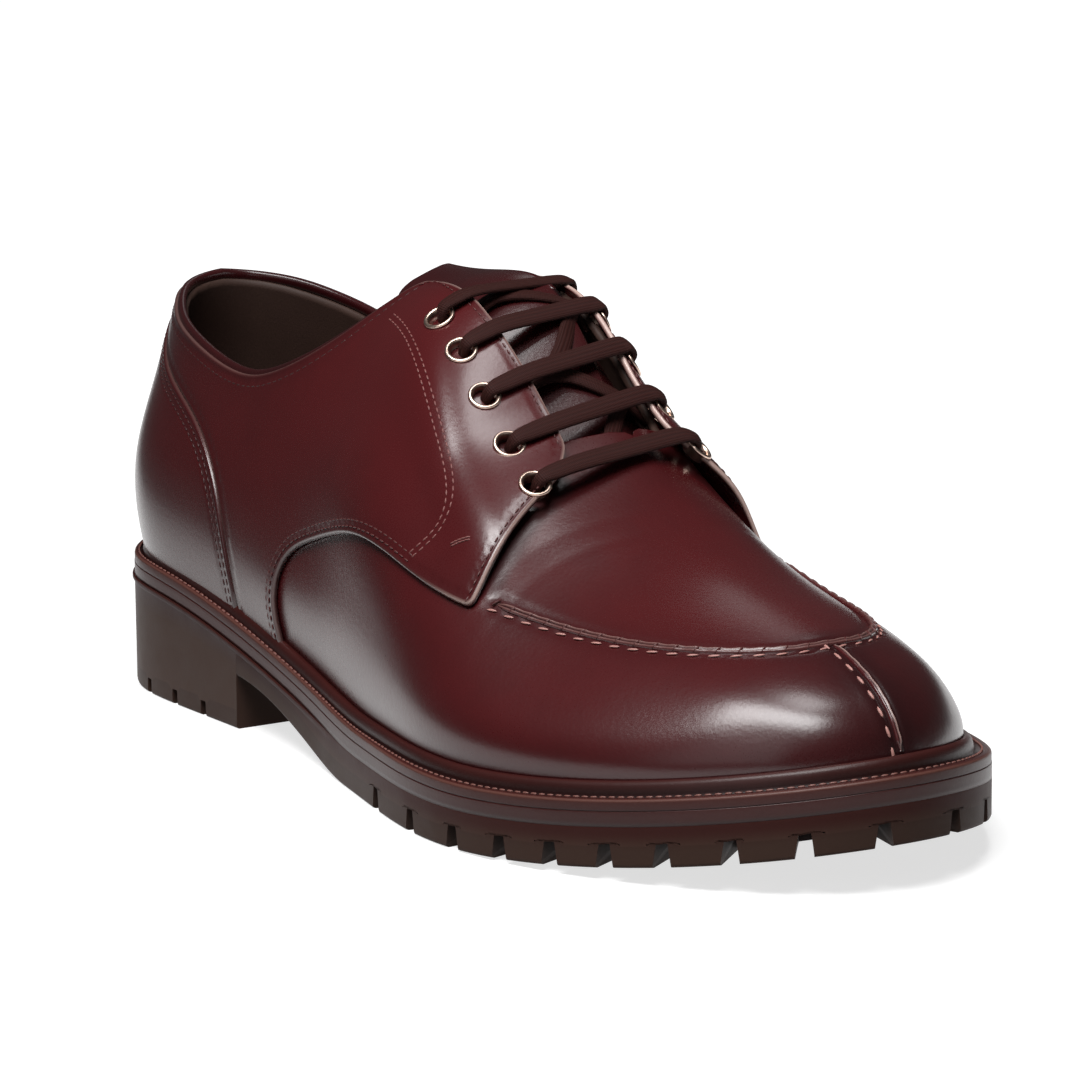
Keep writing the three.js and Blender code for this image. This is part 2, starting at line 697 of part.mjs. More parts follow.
const apronEntries = () => [
  ...seam(APRON, LATERAL, 0, 2),
  [LATERAL, APRON_FRONT, 1],
  ...seam(APRON, MEDIAL, 0, 2).reverse(),
];
const toeEntries = () => Array.from({ length: TOE_SEAM_STEPS + 1 }, (_, i) => (
  [LATERAL, APRON_FRONT + (TOE_SEAM_END - APRON_FRONT) * i / TOE_SEAM_STEPS, 1]));

// Eyelet places, from the collar down to the tab
const eyeletShare = (row, side) => EYELET_FIRST + (EYELET_LAST - EYELET_FIRST) * row / (EYELET_PAIRS - 1) + tabShift(side);
function eyeletFrame(row, side) {
  const share = eyeletShare(row, side);
  const angle = Math.asin(EYELET_LEVEL);
  const normal = lastNormal(share, side, angle);
  const along = AXIS_X.clone().addScaledVector(normal, -normal.x).normalize();
  const across = new THREE.Vector3().crossVectors(normal, along);
  return frameOf(along, across, normal, lastPoint(share, side, angle));
}

const quarterFace = GAP + QUARTER_THICKNESS;
const barrelRadius = EYELET_HOLE_RADIUS + EYELET_BARREL_WALL;

function eyeletHole(row, side) {
  const geometry = new THREE.CylinderGeometry(barrelRadius + GAP, barrelRadius + GAP, DEEP, EYELET_FACETS);
  geometry.rotateX(Math.PI / 2).applyMatrix4(eyeletFrame(row, side));
  return geometrySolid(geometry);
}

const withEyeletHoles = (solid, sides) => {
  let cut = solid;
  for (const side of sides) {
    for (let row = 0; row < EYELET_PAIRS; row += 1) cut = cut.subtract(eyeletHole(row, side));
  }
  return cut;
};

function makeEyelet(row, side) {
  const seat = quarterFace + FLANGE_EASE;
  const profile = [
    [EYELET_HOLE_RADIUS, seat - EYELET_BARREL_DEPTH],
    [barrelRadius, seat - EYELET_BARREL_DEPTH],
    [barrelRadius, seat],
    [EYELET_FLANGE_RADIUS, seat],
    [barrelRadius, seat + EYELET_RIM],
    [EYELET_HOLE_RADIUS, seat - EYELET_BARREL_DEPTH],
  ];
  const geometry = new THREE.LatheGeometry(profile.map(([r, z]) => new THREE.Vector2(r, z)), EYELET_FACETS);
  geometry.rotateX(Math.PI / 2).applyMatrix4(eyeletFrame(row, side));
  return geometrySolid(geometry);
}

// One straight bar of the lacing, from inside one eyelet to inside the opposite one
function makeLaceBar(row) {
  const rim = quarterFace + FLANGE_EASE + EYELET_RIM;
  const ride = rim + GAP + LACE_THICKNESS / 2 + LACE_EASE;
  const thin = (EYELET_HOLE_RADIUS - GAP) * 0.8;
  const wide = LACE_WIDTH / 2;
  const tall = LACE_THICKNESS / 2;
  const half = (side) => {
    const share = eyeletShare(row, side);
    const at = (level, lift) => lifted(share, side, Math.asin(level), lift);
    return [
      { p: at(EYELET_LEVEL, GAP), wide: thin, tall: thin },
      { p: at(EYELET_LEVEL, rim - GAP), wide: thin, tall: thin },
      ...LACE_RUN.map(([level, drop]) => ({ p: at(level, ride - drop), wide, tall })),
    ];
  };
  const knots = [...half(LATERAL), ...half(MEDIAL).reverse()];
  const along = new THREE.Vector3(1, 0, -INSTEP_SLOPE).normalize();
  const rings = knots.map((knot, i) => {
    const ahead = knots[Math.min(i + 1, knots.length - 1)].p.clone().sub(knots[Math.max(i - 1, 0)].p).normalize();
    const across = along.clone().addScaledVector(ahead, -along.dot(ahead)).normalize();
    const up = new THREE.Vector3().crossVectors(ahead, across);
    return Array.from({ length: LACE_FACETS }, (_, j) => {
      const turn = 2 * Math.PI * (j + 0.5) / LACE_FACETS;
      return knot.p.clone()
        .addScaledVector(across, knot.wide * Math.cos(turn))
        .addScaledVector(up, knot.tall * Math.sin(turn));
    });
  });
  return loft(rings);
}

// Tongue: a plate under the throat, from inside the vamp to above the collar
function makeTongue() {
  const top = -UPPER_WALL - GAP - LACE_ROOM;
  const plateForm = lastForm(top, 0).subtract(lastForm(top - TONGUE_THICKNESS, DEEP));
  const edge = (side) => seam(TONGUE_EDGE, side);
  const outline = [...edge(LATERAL), [LATERAL, TONGUE_FRONT, 1], ...edge(MEDIAL).reverse(), [MEDIAL, TONGUE_TOP, 1]];
  return plateForm.intersect(seamCutter(outline, [MEDIAL, (TONGUE_TOP + TONGUE_FRONT) / 2, 1]));
}

// Insole inside the wall, on the midsole
function makeInsole() {
  const slab = plate((x) => midsoleTopAt(x) + GAP + INSOLE_THICKNESS, (x) => midsoleTopAt(x) + GAP, [[0, 0], [1, 0]]);
  return slab.intersect(lastForm(-UPPER_WALL - GAP, WELT_THICKNESS + DEEP));
}

function makeUpper() {
  const foot = WELT_THICKNESS;
  let wall = lastForm(0, foot).subtract(lastForm(-UPPER_WALL, foot + DEEP));
  const seams = ridge(apronEntries(), APRON_RIDGE_WIDTH, APRON_RIDGE_HEIGHT)
    .add(ridge(toeEntries(), TOE_RIDGE_WIDTH, TOE_RIDGE_HEIGHT));
  const bare = seamCutter(openingOutline(), [MEDIAL, OPENING_MIDDLE, 1]);
  wall = wall.add(seams.subtract(lastForm(-UPPER_WALL * 0.5, foot + DEEP)));
  return withEyeletHoles(wall.subtract(bare), [LATERAL, MEDIAL]);
}

// Overlay of a set thickness over the upper, cut to an outline
function overlay(thickness, outline, middle) {
  const shell = lastForm(GAP + thickness, 0).subtract(lastForm(GAP, DEEP));
  return shell.subtract(beadSlab()).intersect(seamCutter(outline, middle));
}

// Slab up to just above the welt's bead, wider than the shoe
function beadSlab() {
  return plate((x) => seatAt(x) + BEAD_HEIGHT + GAP, () => -DEEP, [[0, -2 * DEEP], [1, -2 * DEEP]]);
}

const makeQuarter = (side) => withEyeletHoles(overlay(QUARTER_THICKNESS, quarterOutline(side), [side, ...QUARTER_MIDDLE]), [side]);
const makeCounter = () => overlay(COUNTER_THICKNESS, counterOutline(), [LATERAL, 0, COUNTER_MIDDLE]);

const LEATHER = { color: 0x4a1713, roughness: 0.38, metalness: 0 };
const RUBBER = { color: 0x2b211b, roughness: 0.7, metalness: 0 };
const WELT_LEATHER = { color: 0x3a1b14, roughness: 0.5, metalness: 0 };
const LINING = { color: 0x2a1a14, roughness: 0.8, metalness: 0 };
const COPPER = { color: 0xb99a8c, roughness: 0.3, metalness: 1 };
const LACE = { color: 0x24130f, roughness: 0.65, metalness: 0 };

const shoe = new THREE.Group();

function addPart(name, solid, finish) {
  const { vertProperties, triVerts, numProp } = solid.getMesh();
  const geometry = new THREE.BufferGeometry();
  const position = new Float32Array(vertProperties.length / numProp * 3);
  for (let i = 0; i < position.length / 3; i += 1) {
    for (let axis = 0; axis < 3; axis += 1) position[3 * i + axis] = vertProperties[numProp * i + axis];
  }
  geometry.setAttribute('position', new THREE.BufferAttribute(position, 3));
  geometry.setIndex(new THREE.BufferAttribute(new Uint32Array(triVerts), 1));
  geometry.computeVertexNormals();
  const mesh = new THREE.Mesh(geometry, new THREE.MeshStandardMaterial(finish));
  mesh.name = name;
  shoe.add(mesh);
}

addPart('outsole', makeOutsole(), RUBBER);
addPart('midsole', makeMidsole(), WELT_LEATHER);
addPart('welt', makeWelt(), WELT_LEATHER);
addPart('insole', makeInsole(), LINING);
addPart('upper', makeUpper(), LEATHER);
addPart('counter', makeCounter(), LEATHER);
addPart('tongue', makeTongue(), LEATHER);
for (const { name, sign } of SIDES) {
  addPart(`quarter_${name}`, makeQuarter(sign), LEATHER);
  for (let row = 0; row < EYELET_PAIRS; row += 1) addPart(`eyelet_${name}_${row + 1}`, makeEyelet(row, sign), COPPER);
}
for (let row = 0; row < EYELET_PAIRS; row += 1) addPart(`lace_bar_${row + 1}`, makeLaceBar(row), LACE);

// Origin at the centre of the box's floor
const box = new THREE.Box3().setFromObject(shoe);
const centre = box.getCenter(new THREE.Vector3());
shoe.position.set(-centre.x, -centre.y, -box.min.z);

export default shoe;
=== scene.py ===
import math

import bmesh
import bpy
import numpy as np
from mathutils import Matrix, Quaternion, Vector
from mathutils.geometry import delaunay_2d_cdt


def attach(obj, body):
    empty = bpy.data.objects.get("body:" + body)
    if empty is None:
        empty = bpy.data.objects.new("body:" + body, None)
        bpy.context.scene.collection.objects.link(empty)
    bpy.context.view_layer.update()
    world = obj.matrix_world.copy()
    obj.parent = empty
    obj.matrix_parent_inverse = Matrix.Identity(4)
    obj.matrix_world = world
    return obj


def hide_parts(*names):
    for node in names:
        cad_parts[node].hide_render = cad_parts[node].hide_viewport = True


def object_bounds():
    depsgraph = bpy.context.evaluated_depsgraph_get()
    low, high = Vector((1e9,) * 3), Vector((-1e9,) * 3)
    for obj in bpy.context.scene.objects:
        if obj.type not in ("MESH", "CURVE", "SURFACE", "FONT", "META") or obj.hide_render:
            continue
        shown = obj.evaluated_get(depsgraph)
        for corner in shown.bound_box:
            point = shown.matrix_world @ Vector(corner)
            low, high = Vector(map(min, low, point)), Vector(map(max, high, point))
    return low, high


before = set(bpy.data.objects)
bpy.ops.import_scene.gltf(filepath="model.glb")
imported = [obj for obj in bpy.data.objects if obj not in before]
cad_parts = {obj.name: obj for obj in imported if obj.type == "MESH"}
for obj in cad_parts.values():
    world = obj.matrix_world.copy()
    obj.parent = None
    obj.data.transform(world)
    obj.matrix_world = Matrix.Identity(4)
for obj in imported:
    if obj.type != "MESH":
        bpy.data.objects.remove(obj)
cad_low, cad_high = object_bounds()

# Sizes of the sole and last in millimetres, measured from the back of the sole
SOLE_LENGTH = 306.0
SOLE_BALL_WIDTH = 124.0
HEEL_SEAT = 35.0
FORE_SEAT = 15.5
TOE_SPRING = 11.0
TOE_SWING = 1.5
HEEL_LENGTH = 88.0
BREAST_HEIGHT = 14.0
WELT_THICKNESS = 2.6
MIDSOLE_THICKNESS = 3.2
FIT = 0.3
HEEL_MARGIN = 5.5
TOE_MARGIN = 7.5
INSTEP_HEIGHT = 98.0
HEEL_CURVE = 8.0
HEEL_BACK_REACH = 0.30
LAST_LENGTH = SOLE_LENGTH - HEEL_MARGIN - TOE_MARGIN
LAST_BALL_WIDTH = SOLE_BALL_WIDTH - 12.0
LAST_CENTRE_Y = -0.2

# Outline of sole and last: share of length, lateral and medial half width
OUTLINE = [
    (0.000, 0.000, 0.000), (0.015, 0.285, 0.275), (0.050, 0.480, 0.460), (0.110, 0.635, 0.600),
    (0.180, 0.675, 0.620), (0.260, 0.685, 0.575), (0.340, 0.700, 0.510), (0.420, 0.745, 0.490),
    (0.500, 0.835, 0.560), (0.580, 0.935, 0.700), (0.650, 1.005, 0.870), (0.710, 1.015, 0.975),
    (0.770, 0.965, 1.000), (0.830, 0.865, 0.905), (0.890, 0.715, 0.745), (0.940, 0.540, 0.565),
    (0.975, 0.355, 0.370), (0.993, 0.185, 0.195), (1.000, 0.000, 0.000),
]

# Sections of the last: share of length, height, widths at the levels, lean of the ridge
LEVELS = [0.12, 0.30, 0.50, 0.70, 0.86, 0.96]
SECTIONS = [
    (0.00, 0.837, 1.04, 1.03, 0.88, 0.74, 0.65, 0.46, 0.00),
    (0.08, 0.867, 1.04, 1.03, 0.89, 0.76, 0.66, 0.47, 0.00),
    (0.18, 0.913, 1.03, 1.02, 0.90, 0.78, 0.66, 0.43, 0.02),
    (0.28, 0.959, 1.03, 1.01, 0.91, 0.77, 0.60, 0.36, 0.09),
    (0.38, 1.000, 1.04, 1.01, 0.93, 0.77, 0.56, 0.31, 0.23),
    (0.48, 1.015, 1.03, 1.01, 0.95, 0.78, 0.61, 0.33, 0.30),
    (0.60, 0.702, 1.02, 1.00, 0.93, 0.78, 0.60, 0.24, 0.22),
    (0.68, 0.526, 1.02, 1.00, 0.90, 0.73, 0.52, 0.29, 0.16),
    (0.75, 0.429, 1.02, 1.00, 0.88, 0.71, 0.50, 0.28, 0.10),
    (0.82, 0.367, 1.02, 1.00, 0.89, 0.73, 0.53, 0.29, 0.08),
    (0.87, 0.324, 1.02, 1.00, 0.90, 0.75, 0.56, 0.31, 0.07),
    (0.91, 0.284, 1.02, 1.00, 0.91, 0.77, 0.58, 0.32, 0.05),
    (0.95, 0.222, 1.02, 1.01, 0.92, 0.78, 0.58, 0.32, 0.03),
    (0.98, 0.148, 1.02, 1.01, 0.93, 0.78, 0.58, 0.32, 0.01),
    (1.00, 0.000, 1.02, 1.01, 0.93, 0.78, 0.58, 0.32, 0.00),
]
HEEL_BACK = [(0, 0), (0.12, -0.28), (0.28, -0.40), (0.45, -0.19), (0.65, 0.31), (0.80, 0.69), (1, 1)]

# Seams on the last: share of length, share of height
COLLAR = [
    (0.000, 0.840), (0.040, 0.795), (0.090, 0.735), (0.160, 0.662), (0.220, 0.628),
    (0.260, 0.636), (0.305, 0.696), (0.345, 0.782), (0.377, 0.872), (0.396, 0.930),
]
FACING = [(0.400, 0.942), (0.440, 0.947), (0.500, 0.948), (0.560, 0.949), (0.600, 0.948)]
TAB_FRONT = [(0.619, 0.928), (0.632, 0.870), (0.643, 0.780), (0.650, 0.690), (0.654, 0.622)]
QUARTER_FOOT = [
    (0.570, 0.535), (0.510, 0.475), (0.455, 0.410), (0.400, 0.345),
    (0.357, 0.265), (0.341, 0.170), (0.340, 0.080), (0.345, 0.000),
]
COUNTER_FRONT = [
    (0.275, 0.000), (0.268, 0.110), (0.256, 0.220), (0.232, 0.350), (0.190, 0.455),
    (0.140, 0.530), (0.085, 0.620), (0.050, 0.690), (0.022, 0.735), (0.000, 0.748),
]
APRON = [
    (0.674, 0.683), (0.694, 0.704), (0.724, 0.735), (0.780, 0.790),
    (0.826, 0.840), (0.863, 0.895), (0.890, 0.950), (0.902, 0.985), (0.905, 1.000),
]
FACING_STITCH = [
    (0.402, 0.862), (0.470, 0.835), (0.540, 0.812), (0.569, 0.792), (0.584, 0.750), (0.586, 0.700),
    (0.575, 0.585),
]
BAR_TACK = [(0.608, 0.705), (0.612, 0.725), (0.617, 0.745)]
TONGUE_EDGE = [
    (0.347, 0.985), (0.349, 0.955), (0.356, 0.925), (0.372, 0.905), (0.400, 0.893), (0.450, 0.888),
    (0.550, 0.880), (0.630, 0.885),
]
COLLAR_END = 0.396
COLLAR_END_LEVEL = 0.93
TAB_SET_BACK = 0.014
THROAT_FRONT = 0.607
THROAT_EDGE = 0.936
APRON_FRONT = 0.905
EYELETS = 5
EYELET_FIRST = 0.463
EYELET_LAST = 0.617
EYELET_LEVEL = 0.900
HOLE_RADIUS = 2.9

# Lifts of the layers off the last
QUARTER_BASE = 0.3
QUARTER_THICKNESS = 1.5
COUNTER_THICKNESS = 1.9
LINING_LIFT = -2.0
TONGUE_LIFT = -4.9

SOLE_NOTCHES = [0.58, 0.65, 0.71, 0.76, 0.805, 0.848, 0.888, 0.93, 0.968, 0.995]
HEEL_NOTCHES = [0.025, 0.08, 0.13, 0.18, 0.23]
LATERAL = -1
MEDIAL = 1
SIDES = (("lateral", LATERAL), ("medial", MEDIAL))


def spline(at, rows):
    """Natural cubic spline through rows of values."""
    at = np.asarray(at, float)
    rows = np.asarray(rows, float).reshape(len(at), -1)
    gaps = np.diff(at)
    system = np.eye(len(at))
    right = np.zeros_like(rows)
    for i in range(1, len(at) - 1):
        system[i, i - 1:i + 2] = gaps[i - 1], 2 * (gaps[i - 1] + gaps[i]), gaps[i]
        right[i] = 6 * ((rows[i + 1] - rows[i]) / gaps[i] - (rows[i] - rows[i - 1]) / gaps[i - 1])
    bend = np.linalg.solve(system, right)

    def curve(x):
        x = np.asarray(x, float)
        i = np.clip(np.searchsorted(at, x, side="right") - 1, 0, len(at) - 2)
        span = gaps[i][..., None]
        b = (x - at[i])[..., None] / span
        a = 1 - b
        curl = (a**3 - a) * bend[i] + (b**3 - b) * bend[i + 1]
        return a * rows[i] + b * rows[i + 1] + curl * span**2 / 6

    return curve


def length_angle(share):
    """Length share as an angle, so that outlines close round at both ends."""
    return np.arccos(np.clip(1 - 2 * np.asarray(share, float), -1, 1))


def length_share(a):
    return (1 - np.cos(a)) / 2


def section_level(t):
    return np.sin(np.clip(t, 0, np.pi))


def table_curve(rows):
    rows = np.array(rows, float)
    return spline(length_angle(rows[:, 0]), rows[:, 1:])


outline_at = table_curve(OUTLINE)
section_at = table_curve(SECTIONS)
heel_back_at = spline([row[0] for row in HEEL_BACK], [row[1] for row in HEEL_BACK])
level_basis = spline(np.arcsin([0, *LEVELS, 1]), np.eye(len(LEVELS) + 2))


def smooth(low, high, x):
    q = np.clip((np.asarray(x, float) - low) / (high - low), 0, 1)
    return q * q * (3 - 2 * q)


def swell(x, centre, width):
    """Rounded bump of height 1 about its centre."""
    return np.exp(-((x - centre) / width) ** 2)


def cosine_ease(low, high, x):
    q = np.clip((np.asarray(x, float) - low) / (high - low), 0, 1)
    return 0.5 - 0.5 * np.cos(np.pi * q)


def spring(x):
    return TOE_SPRING * np.clip((np.asarray(x) / SOLE_LENGTH - 0.68) / 0.32, 0, None) ** 2


def swing(x):
    return TOE_SWING * np.clip((np.asarray(x) / SOLE_LENGTH - 0.6) / 0.4, 0, None) ** 2


def seat(x):
    fall = cosine_ease(0.10, 0.54, np.asarray(x) / SOLE_LENGTH)
    return FORE_SEAT + (HEEL_SEAT - FORE_SEAT) * (1 - fall) + spring(x)


def arch(x):
    """Underside of the waist, from the heel breast to the tread."""
    start = HEEL_LENGTH / SOLE_LENGTH
    return BREAST_HEIGHT * (1 - cosine_ease(start - 0.02, 0.5, np.asarray(x) / SOLE_LENGTH))


def last_point(a, t):
    """Point of the last: length angle, and angle round the section from lateral foot to medial foot."""
    a, t = np.broadcast_arrays(np.asarray(a, float), np.asarray(t, float))
    crossed = (a < 0) | (a > np.pi)
    a = np.where(a < 0, -a, a)
    a = np.where(a > np.pi, 2 * np.pi - a, a)
    t = np.where(crossed, np.pi - t, t)
    medial = t > np.pi / 2
    turn = np.clip(np.where(medial, np.pi - t, t), 0, np.pi / 2)
    share = length_share(a)
    section = section_at(a)
    widths = outline_at(a)
    rise = np.sin(turn)
    basis = level_basis(turn)
    width = basis[..., 0] + (basis[..., 1:7] * section[..., 1:7]).sum(-1)
    ridge = section[..., 7] * LAST_BALL_WIDTH / 2
    foot = np.where(medial, widths[..., 1], -widths[..., 0]) * LAST_BALL_WIDTH / 2
    x = HEEL_MARGIN + share * LAST_LENGTH
    back = HEEL_CURVE * heel_back_at(rise)[..., 0] * np.clip(1 - share / HEEL_BACK_REACH, 0, None) ** 2
    y = ridge + (foot - ridge) * width + swing(x)
    return np.stack([x + back, y, seat(x) + section[..., 0] * INSTEP_HEIGHT * rise], -1)


def unit(v):
    return v / (np.linalg.norm(v, axis=-1, keepdims=True) + 1e-12)


def way_along(places):
    """Length of a line of points up to each of them."""
    return np.r_[0, np.cumsum(np.linalg.norm(np.diff(places, axis=0), axis=1))]


def between(goal, at, rows):
    """Rows of values at other places along their line."""
    return np.stack([np.interp(goal, at, rows[:, k]) for k in range(rows.shape[1])], -1)


def last_normal(a, t):
    step = 2e-3
    a = np.clip(a, -3.1, 3.12)
    along = last_point(a + step, t) - last_point(a - step, t)
    up = last_point(a, np.asarray(t) + step) - last_point(a, np.asarray(t) - step)
    return unit(np.cross(along, up))


def lifted(a, t, lift):
    return last_point(a, t) + last_normal(a, t) * np.asarray(lift, float)[..., None]


def chart(rows, side, shift=0.0):
    """Seam rows as chart points (length angle, section angle) on one side."""
    rows = np.array(rows, float)
    turn = np.arcsin(np.clip(rows[:, 1], 0, 1))
    return np.stack([length_angle(rows[:, 0] + shift), turn if side == LATERAL else np.pi - turn], -1)


def tab_shift(side):
    return -0.5 * side * TAB_SET_BACK


def even(points, step):
    """Same chart polyline with evenly spaced points."""
    at = way_along(last_point(points[:, 0], points[:, 1]))
    return between(np.linspace(0, at[-1], max(2, int(round(at[-1] / step)) + 1)), at, points)


def resample(points, step):
    """Chart points along a smooth curve, evenly spaced on the last by about step."""
    at = way_along(last_point(points[:, 0], points[:, 1])) + 1e-6 * np.arange(len(points))
    return even(spline(at, points)(np.linspace(0, at[-1], 8 * len(points))), step)


def closed_outline(parts, step, rounding):
    """Closed chart outline from seams laid end to end, with its corners rounded a little."""
    loop = np.concatenate([resample(part, step / 2) for part in parts])
    loop = even(np.r_[loop, loop[:1]], step)[:-1]
    for _ in range(rounding):
        loop = 0.5 * loop + 0.25 * (np.roll(loop, 1, 0) + np.roll(loop, -1, 0))
    area = (loop[:, 0] * np.roll(loop[:, 1], -1) - loop[:, 1] * np.roll(loop[:, 0], -1)).sum()
    return loop if area > 0 else loop[::-1]


def chart_step(a, t, direction):
    """Chart move that goes along a direction in space."""
    e = 1e-3
    da = (last_point(a + e, t) - last_point(a - e, t)) / (2 * e)
    dt = (last_point(a, t + e) - last_point(a, t - e)) / (2 * e)
    aa, bb, ab = (da * da).sum(-1), (dt * dt).sum(-1), (da * dt).sum(-1)
    ca, cb = (da * direction).sum(-1), (dt * direction).sum(-1)
    det = aa * bb - ab * ab + 1e-9
    return np.stack([(bb * ca - ab * cb) / det, (aa * cb - ab * ca) / det], -1)


def inward(loop):
    places = last_point(loop[:, 0], loop[:, 1])
    tangent = unit(np.roll(places, -1, 0) - np.roll(places, 1, 0))
    return np.cross(last_normal(loop[:, 0], loop[:, 1]), tangent)


def shifted_line(line, aside):
    """Open chart line moved sideways on the last, to the left of its way."""
    places = last_point(line[:, 0], line[:, 1])
    tangent = unit(np.gradient(places, axis=0))
    across = np.cross(last_normal(line[:, 0], line[:, 1]), tangent)
    return line + chart_step(line[:, 0], line[:, 1], across * aside)


def inside(points, loop):
    """Which points lie in a closed loop of the chart."""
    x, y = points[:, 0][:, None], points[:, 1][:, None]
    x1, y1 = loop[:, 0], loop[:, 1]
    x2, y2 = np.roll(x1, -1), np.roll(y1, -1)
    spans = (y1 > y) != (y2 > y)
    cross = x1 + (y - y1) / np.where(y2 == y1, 1e-12, y2 - y1) * (x2 - x1)
    return (spans & (x < cross)).sum(1) % 2 == 1


def line_distance(places, line, closed=False):
    """For each place: distance to a line of points, way along it, offset from it and index on it."""
    start = line if closed else line[:-1]
    end = np.roll(line, -1, 0) if closed else line[1:]
    span = end - start
    length2 = (span * span).sum(-1) + 1e-12
    way = np.r_[0, np.cumsum(np.sqrt(length2))]
    best, along = np.empty(len(places)), np.empty(len(places))
    offset = np.empty((len(places), 3))
    index = np.empty(len(places), int)
    for low in range(0, len(places), 4000):
        part = places[low:low + 4000]
        gap = part[:, None] - start[None]
        q = np.clip((gap * span).sum(-1) / length2, 0, 1)
        rest = gap - q[..., None] * span
        d2 = (rest * rest).sum(-1)
        i = d2.argmin(1)
        rows = np.arange(len(part))
        best[low:low + 4000] = np.sqrt(d2[rows, i])
        along[low:low + 4000] = way[i] + q[rows, i] * np.sqrt(length2[i])
        offset[low:low + 4000] = rest[rows, i]
        index[low:low + 4000] = i
    return best, along, offset, index


# Finishes


class Value:
    """A number socket of a finish, which can be used in sums."""

    def __init__(self, finish, socket):
        self.finish = finish
        self.socket = socket

    def sum_with(self, operation, first, second):
        return self.finish.node("ShaderNodeMath", {"operation": operation}, {0: first, 1: second})

    def __add__(self, other):
        return self.sum_with("ADD", self, other)

    def __radd__(self, other):
        return self.sum_with("ADD", other, self)

    def __sub__(self, other):
        return self.sum_with("SUBTRACT", self, other)

    def __rsub__(self, other):
        return self.sum_with("SUBTRACT", other, self)

    def __mul__(self, other):
        return self.sum_with("MULTIPLY", self, other)

    def __rmul__(self, other):
        return self.sum_with("MULTIPLY", other, self)

    def __pow__(self, other):
        return self.sum_with("POWER", self, other)

    def clamped(self):
        return self.finish.node("ShaderNodeMath", {"operation": "ADD", "use_clamp": True}, {0: self, 1: 0.0})


class Finish:
    """A material under construction."""

    def __init__(self, name):
        self.material = bpy.data.materials.new(name)
        self.material.use_nodes = True
        self.tree = self.material.node_tree
        self.shader = self.tree.nodes["Principled BSDF"]

    def node(self, kind, settings=None, inputs=None, output=0):
        """Adds one node with its settings and inputs, and gives one of its outputs."""
        node = self.tree.nodes.new(kind)
        for key, value in (settings or {}).items():
            setattr(node, key, value)
        for key, value in (inputs or {}).items():
            self.feed(node.inputs[key], value)
        return Value(self, node.outputs[output])

    def feed(self, socket, value):
        if isinstance(value, Value):
            self.tree.links.new(value.socket, socket)
        elif isinstance(value, tuple) and socket.type == "RGBA":
            socket.default_value = (*value, 1)
        else:
            socket.default_value = value

    def set(self, **inputs):
        for key, value in inputs.items():
            self.feed(self.shader.inputs[key.replace("_", " ")], value)

    def place(self):
        return self.node("ShaderNodeTexCoord", output="Object")

    def two_parts(self, vector):
        """First and second part of a vector as values."""
        first = self.node("ShaderNodeSeparateXYZ", {}, {0: vector})
        return first, Value(self, first.socket.node.outputs[1])

    def noise(self, scale, detail, rough, place):
        inputs = {"Vector": place, "Scale": scale, "Detail": detail, "Roughness": rough}
        return self.node("ShaderNodeTexNoise", {}, inputs, "Fac")

    def attribute(self, name):
        return self.node("ShaderNodeAttribute", {"attribute_name": name}, {}, "Fac")

    def mix(self, factor, first, second):
        settings = {"data_type": "RGBA", "clamp_factor": True}
        return self.node("ShaderNodeMix", settings, {"Factor": factor, 6: first, 7: second}, 2)

    def sine(self, turns):
        return self.node("ShaderNodeMath", {"operation": "SINE"}, {0: turns * (2 * math.pi)})

    def eased(self, value, low, high, at_low, at_high):
        """Value between two ends, going smoothly from one amount to the other."""
        inputs = {"Value": value, "From Min": low, "From Max": high, "To Min": at_low, "To Max": at_high}
        return self.node("ShaderNodeMapRange", {"interpolation_type": "SMOOTHSTEP"}, inputs, "Result")

    def bump(self, height, distance, strength):
        inputs = {"Height": height, "Distance": distance, "Strength": strength}
        return self.node("ShaderNodeBump", {}, inputs, "Normal")


# Near-black colour of the painted shadow on the vamp beside the tabs.
PAINTED_SHADOW_COLOUR = (0.004, 0.001, 0.001)
COAT_ROUGHNESS = 0.22


def leather_finish(name, mid, dark, edge, roughness, coat, specular):
    """Polished burgundy calf: patina, burnish, cut edges in a pale colour that is partly a painted highlight,
    a painted shadow where a mesh marks one, fine grain and pores.
    """
    finish = Finish(name)
    place = finish.place()
    cloud = finish.noise(14.0, 4.0, 0.55, place)
    fleck = finish.noise(120.0, 3.0, 0.6, place)
    shade = (finish.attribute("burnish") + (cloud - 0.5) * 0.9 + (fleck - 0.5) * 0.25).clamped()
    colour = finish.mix(shade, mid, dark)
    # Cut edges: the pale edge colour is the leather's cut edge and also a painted highlight where rims catch
    # the light.
    cut = finish.attribute("cut").clamped()
    colour = finish.mix(cut, colour, edge)
    # Painted shadow: where a mesh marks it, the colour is mixed toward near-black, made a little rougher and
    # left without coat.
    painted_shadow = finish.attribute("painted_shadow").clamped()
    colour = finish.mix(painted_shadow * 0.85, colour, PAINTED_SHADOW_COLOUR)
    cells = {"Vector": place, "Scale": 900.0}
    grain = finish.node("ShaderNodeTexVoronoi", {"feature": "F1"}, cells, "Distance")
    pores = finish.noise(2200.0, 2.0, 0.5, place)
    wrinkle = finish.noise(260.0, 4.0, 0.6, place)
    height = grain * 0.35 + pores * 0.3 + wrinkle * 0.6
    worn = (cloud - 0.5) * 0.10 + (pores - 0.5) * 0.08 + cut * 0.2 + painted_shadow * 0.1
    finish.set(Base_Color=colour, Roughness=(worn + roughness).clamped())
    finish.set(Normal=finish.bump(height, 0.00016, 0.30), Coat_Weight=painted_shadow * -coat + coat)
    finish.set(Coat_Roughness=COAT_ROUGHNESS, Specular_IOR_Level=specular)
    return finish.material


